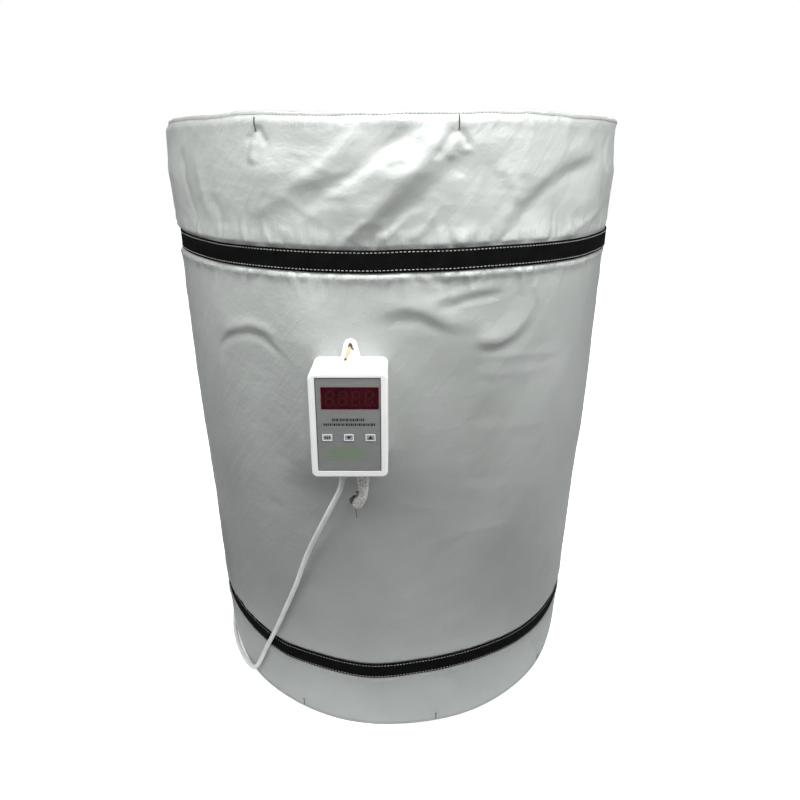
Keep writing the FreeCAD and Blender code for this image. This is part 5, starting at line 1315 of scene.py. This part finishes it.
def make_tie():
    """Twisted wire through the lug's hole, with a short sleeve that hangs forwards."""
    hole_x, hole_z = CASE_X, 602.55

    def placed(points):
        return [((hole_x + x) * MM, y * MM, (hole_z + z) * MM) for x, y, z in points]

    route = [(0, -314.4, 0), (0, -320.6, 0), (-0.9, -326.0, -1.6), (-2.3, -333.2, -4.8), (-4.1, -340.4, -8.5)]
    line = smooth_line(placed(route), 40)
    shape = [(0.3, 0.0009), (0.36, 0.0013), (0.42, 0.0021), (0.96, 0.0021), (1, 0.0019)]
    tie = sweep("lug_tie_sleeve", line, between(shape, np.linspace(0, 1, 40)), TIE, 14)
    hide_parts("lug_tie")
    heading = unit(line[-1] - line[-2])
    sweep("lug_tie_end", [line[-1] + heading * ahead for ahead in (-0.0002, 0.0010, 0.0020)],
          [0.0013, 0.0012, 0.0009], DARK_THREAD_AND_SHADE, 10)
    knot = []
    for k in range(46):
        turn = 2 * math.pi * k / 15.0
        knot.append((1.5 * math.cos(turn) + 0.2 * math.sin(2.3 * turn), -318.6 - 2.6 * k / 45.0,
                     0.8 + 1.7 * math.sin(turn)))
    ends = ([(0.6, -319.0, 1.2), (2.6, -321.2, -1.6), (3.6, -321.6, -3.4)],
            [(-0.4, -319.0, 1.4), (-0.6, -320.2, 3.2), (0.3, -320.6, 4.2)])
    strands = [placed(knot)] + [smooth_line(placed(end), 9) for end in ends]
    joined_tubes("lug_tie_wire", strands, 0.00095, TIE_WIRE, 8)


make_lead()
make_tie()


# Mains cord

CORD_ROUTE = [
    (-61, -340, 444.55), (-62.2, -340, 436.6), (-67, -338.8, 423), (-77.5, -334, 400.5), (-92, -321, 366),
    (-106.5, -305.5, 331), (-122.5, -293, 290), (-136, -284.5, 247), (-159.5, -270, 188),
    (-180.5, -253, 134), (-196.5, -239.5, 98), (-210.5, -224.5, 60), (-220.5, -214.5, 35),
    (-228.5, -205.5, 22.5), (-236, -194.5, 14), (-245.5, -181.5, 8.5), (-258.5, -161.5, 5),
    (-276, -130.5, 4), (-294, -81.5, 3.7), (-304, -26.5, 3.6), (-304, 29.5, 3.6), (-293.5, 84, 3.6),
    (-273, 136, 3.6), (-247, 179.5, 3.7), (-217, 219.5, 4.2),
]
COIL_MIDDLE = (-228.0, 272.0)
COIL_TURNS = 4
# Radius and height of the coil's line, by the turn
COIL_RADIUS = [(0.85, 40.9), (1.15, 34.1), (2.85, 34.1), (3.15, 40.9)]
COIL_HEIGHT = [(1.8, 4.8), (2.2, 11.6)]
TAIL = [(-243.6, 313.7, 12.4), (-257.9, 313.3, 15.9), (-270.9, 312.9, 18.5), (-281.0, 312.9, 18.5)]


def coil_points():
    """Turns of the coil: outside and inside turn below, then inside and outside above."""
    out = []
    per_turn = 16
    first, last = -40.0, 90.0 + 360.0 * COIL_TURNS
    grow = 1.0 / (0.5 + 0.5 * math.cos(2 * math.pi / per_turn))
    for share in np.linspace(0, 1, round((last - first) / 360.0 * per_turn) + 1):
        angle = math.radians(first + (last - first) * share)
        turn = share * COIL_TURNS
        radius = grow * between(COIL_RADIUS, turn)
        out.append((COIL_MIDDLE[0] + radius * math.cos(angle), COIL_MIDDLE[1] + radius * math.sin(angle),
                    between(COIL_HEIGHT, turn)))
    return out


cord = nurbs_object("mains_cord_line", CORD_ROUTE + coil_points() + TAIL, 6)
cord.data.bevel_depth = 0.0034
cord.data.bevel_resolution = 5
cord.data.use_fill_caps = True
cord.data.materials.append(JACKET)
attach(cord, "root")
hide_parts("mains_cord", "mains_cord_coil", "mains_cord_tail")
cord_band = webbing_copy("cord_tie_band", "cord_tie", lambda p: (p.z, math.hypot(p.x, p.y)), 0.0003)


# Stage, light and camera

def stage_floor():
    """Pale floor: white to the camera with a soft shadow, plain to all other rays. A dark ring
    that the camera doesn't see keeps the cloth's low reflections dark."""
    p = Paint("stage_floor", (0.80, 0.81, 0.83), 0.9)
    distance = p.node("ShaderNodeVectorMath", {"operation": "LENGTH"}, i0=p.place()).outputs["Value"]
    glow = p.node("ShaderNodeMapRange", {"interpolation_type": "SMOOTHSTEP"}, Value=distance,
                  From_Min=0.365, From_Max=0.435, To_Min=0.66, To_Max=1.05)
    seen = p.node("ShaderNodeLightPath").outputs["Is Camera Ray"]
    emission = p.node("ShaderNodeEmission", None, Strength=p.maths("MULTIPLY", glow.outputs[0], seen))
    both = p.node("ShaderNodeAddShader", None, i0=p.shader.outputs[0], i1=emission.outputs[0])
    p.tree.links.new(both.outputs[0], p.tree.nodes["Material Output"].inputs[0])
    corners = [(-9, -9, 0), (9, -9, 0), (9, 9, 0), (-9, 9, 0)]
    floor = new_mesh("stage_floor", corners, [(0, 1, 2, 3)], p.material, False, None)
    card = Paint("stage_card", (0.045, 0.045, 0.045), 0.9)
    turns = np.linspace(math.radians(-110), math.radians(84), 40)
    ring = [polar(radius, turn, 1.0) for radius in (430.0, 2600.0) for turn in turns]
    dark = new_mesh("stage_card", ring, grid_faces(2, len(turns)), card.material, False, None)
    dark.visible_camera = False


# Name, place, aim, size and power of each light
LIGHTS = [
    ("high_light", (0.7, -1.5, 1.9), (0, 0, 0.6), (1.2, 0.8), 8.2),
    ("top_light", (0.0, -0.85, 1.32), (0, -0.26, 0.78), (1.8, 0.55), 4.8),
    ("top_right_light", (0.75, -0.75, 1.30), (0.1, -0.2, 0.78), (0.6, 0.6), 5.2),
    ("top_left_light", (-0.75, -0.75, 1.30), (-0.1, -0.2, 0.78), (0.6, 0.6), 3.1),
    ("edge_light", (0.0, -0.50, 1.20), (0, -0.33, 0.83), (1.2, 0.18), 5.4),
    ("left_light", (-1.7, -0.75, 0.35), (0, 0, 0.2), (1.0, 1.0), 4.8),
    ("right_light", (1.7, -0.65, 0.40), (0, 0, 0.2), (1.0, 1.0), 2.2),
    ("back_light", (0.6, 2.6, 1.6), (0, 0, 0.4), (2.4, 1.6), 26),
    ("floor_light", (0.0, -0.62, 0.03), (0, -0.30, 0.06), (1.1, 0.05), 0.36),
]


def make_light(name, place, aim, size, power):
    light = bpy.data.lights.new(name, "AREA")
    light.shape = "RECTANGLE"
    light.size, light.size_y = size
    light.energy = power
    obj = add_object(name, light)
    obj.location = place
    obj.visible_camera = False
    obj.rotation_euler = (Vector(aim) - Vector(place)).to_track_quat("-Z", "Y").to_euler()


def make_world():
    """White to the camera; to other rays a dim sky that is darker below the horizon."""
    world = bpy.data.worlds.new("studio")
    bpy.context.scene.world = world
    world.use_nodes = True
    tree = world.node_tree
    tree.nodes.clear()
    direction = add_node(tree, "ShaderNodeTexCoord").outputs["Generated"]
    up = add_node(tree, "ShaderNodeSeparateXYZ", None, i0=direction).outputs[2]
    share = add_node(tree, "ShaderNodeMapRange", None, Value=up, From_Min=-1.0, From_Max=1.0).outputs[0]
    sky = add_node(tree, "ShaderNodeValToRGB", None, i0=share)
    for element, place, grey in zip(sky.color_ramp.elements, (0.42, 0.60), (0.10, 1.0)):
        element.position = place
        element.color = (grey, grey, grey, 1)
    seen = add_node(tree, "ShaderNodeBackground", None, i0=(1, 1, 1, 1), i1=1.0)
    around = add_node(tree, "ShaderNodeBackground", None, i0=sky.outputs[0], i1=0.25)
    camera_ray = add_node(tree, "ShaderNodeLightPath").outputs["Is Camera Ray"]
    mix = add_node(tree, "ShaderNodeMixShader", None, i0=camera_ray, i1=around.outputs[0], i2=seen.outputs[0])
    add_node(tree, "ShaderNodeOutputWorld", None, i0=mix.outputs[0])


CAMERA_PLACE = (0.0, -0.99222, 0.79460)
CAMERA_TILT = 0.365
LENS, SENSOR, LENS_SHIFT = 27.566, 36.0, 0.00815


def make_camera():
    """Camera fitted to the photograph's view."""
    data = bpy.data.cameras.new("camera")
    data.sensor_width = SENSOR
    data.lens = LENS
    data.shift_x = LENS_SHIFT
    camera = add_object("camera", data)
    camera.location = CAMERA_PLACE
    camera.rotation_euler = (math.pi / 2 - CAMERA_TILT, 0.0, 0.0)
    bpy.context.scene.camera = camera


stage_floor()
for light in LIGHTS:
    make_light(*light)
make_world()
make_camera()
bpy.context.scene.view_settings.view_transform = "Standard"
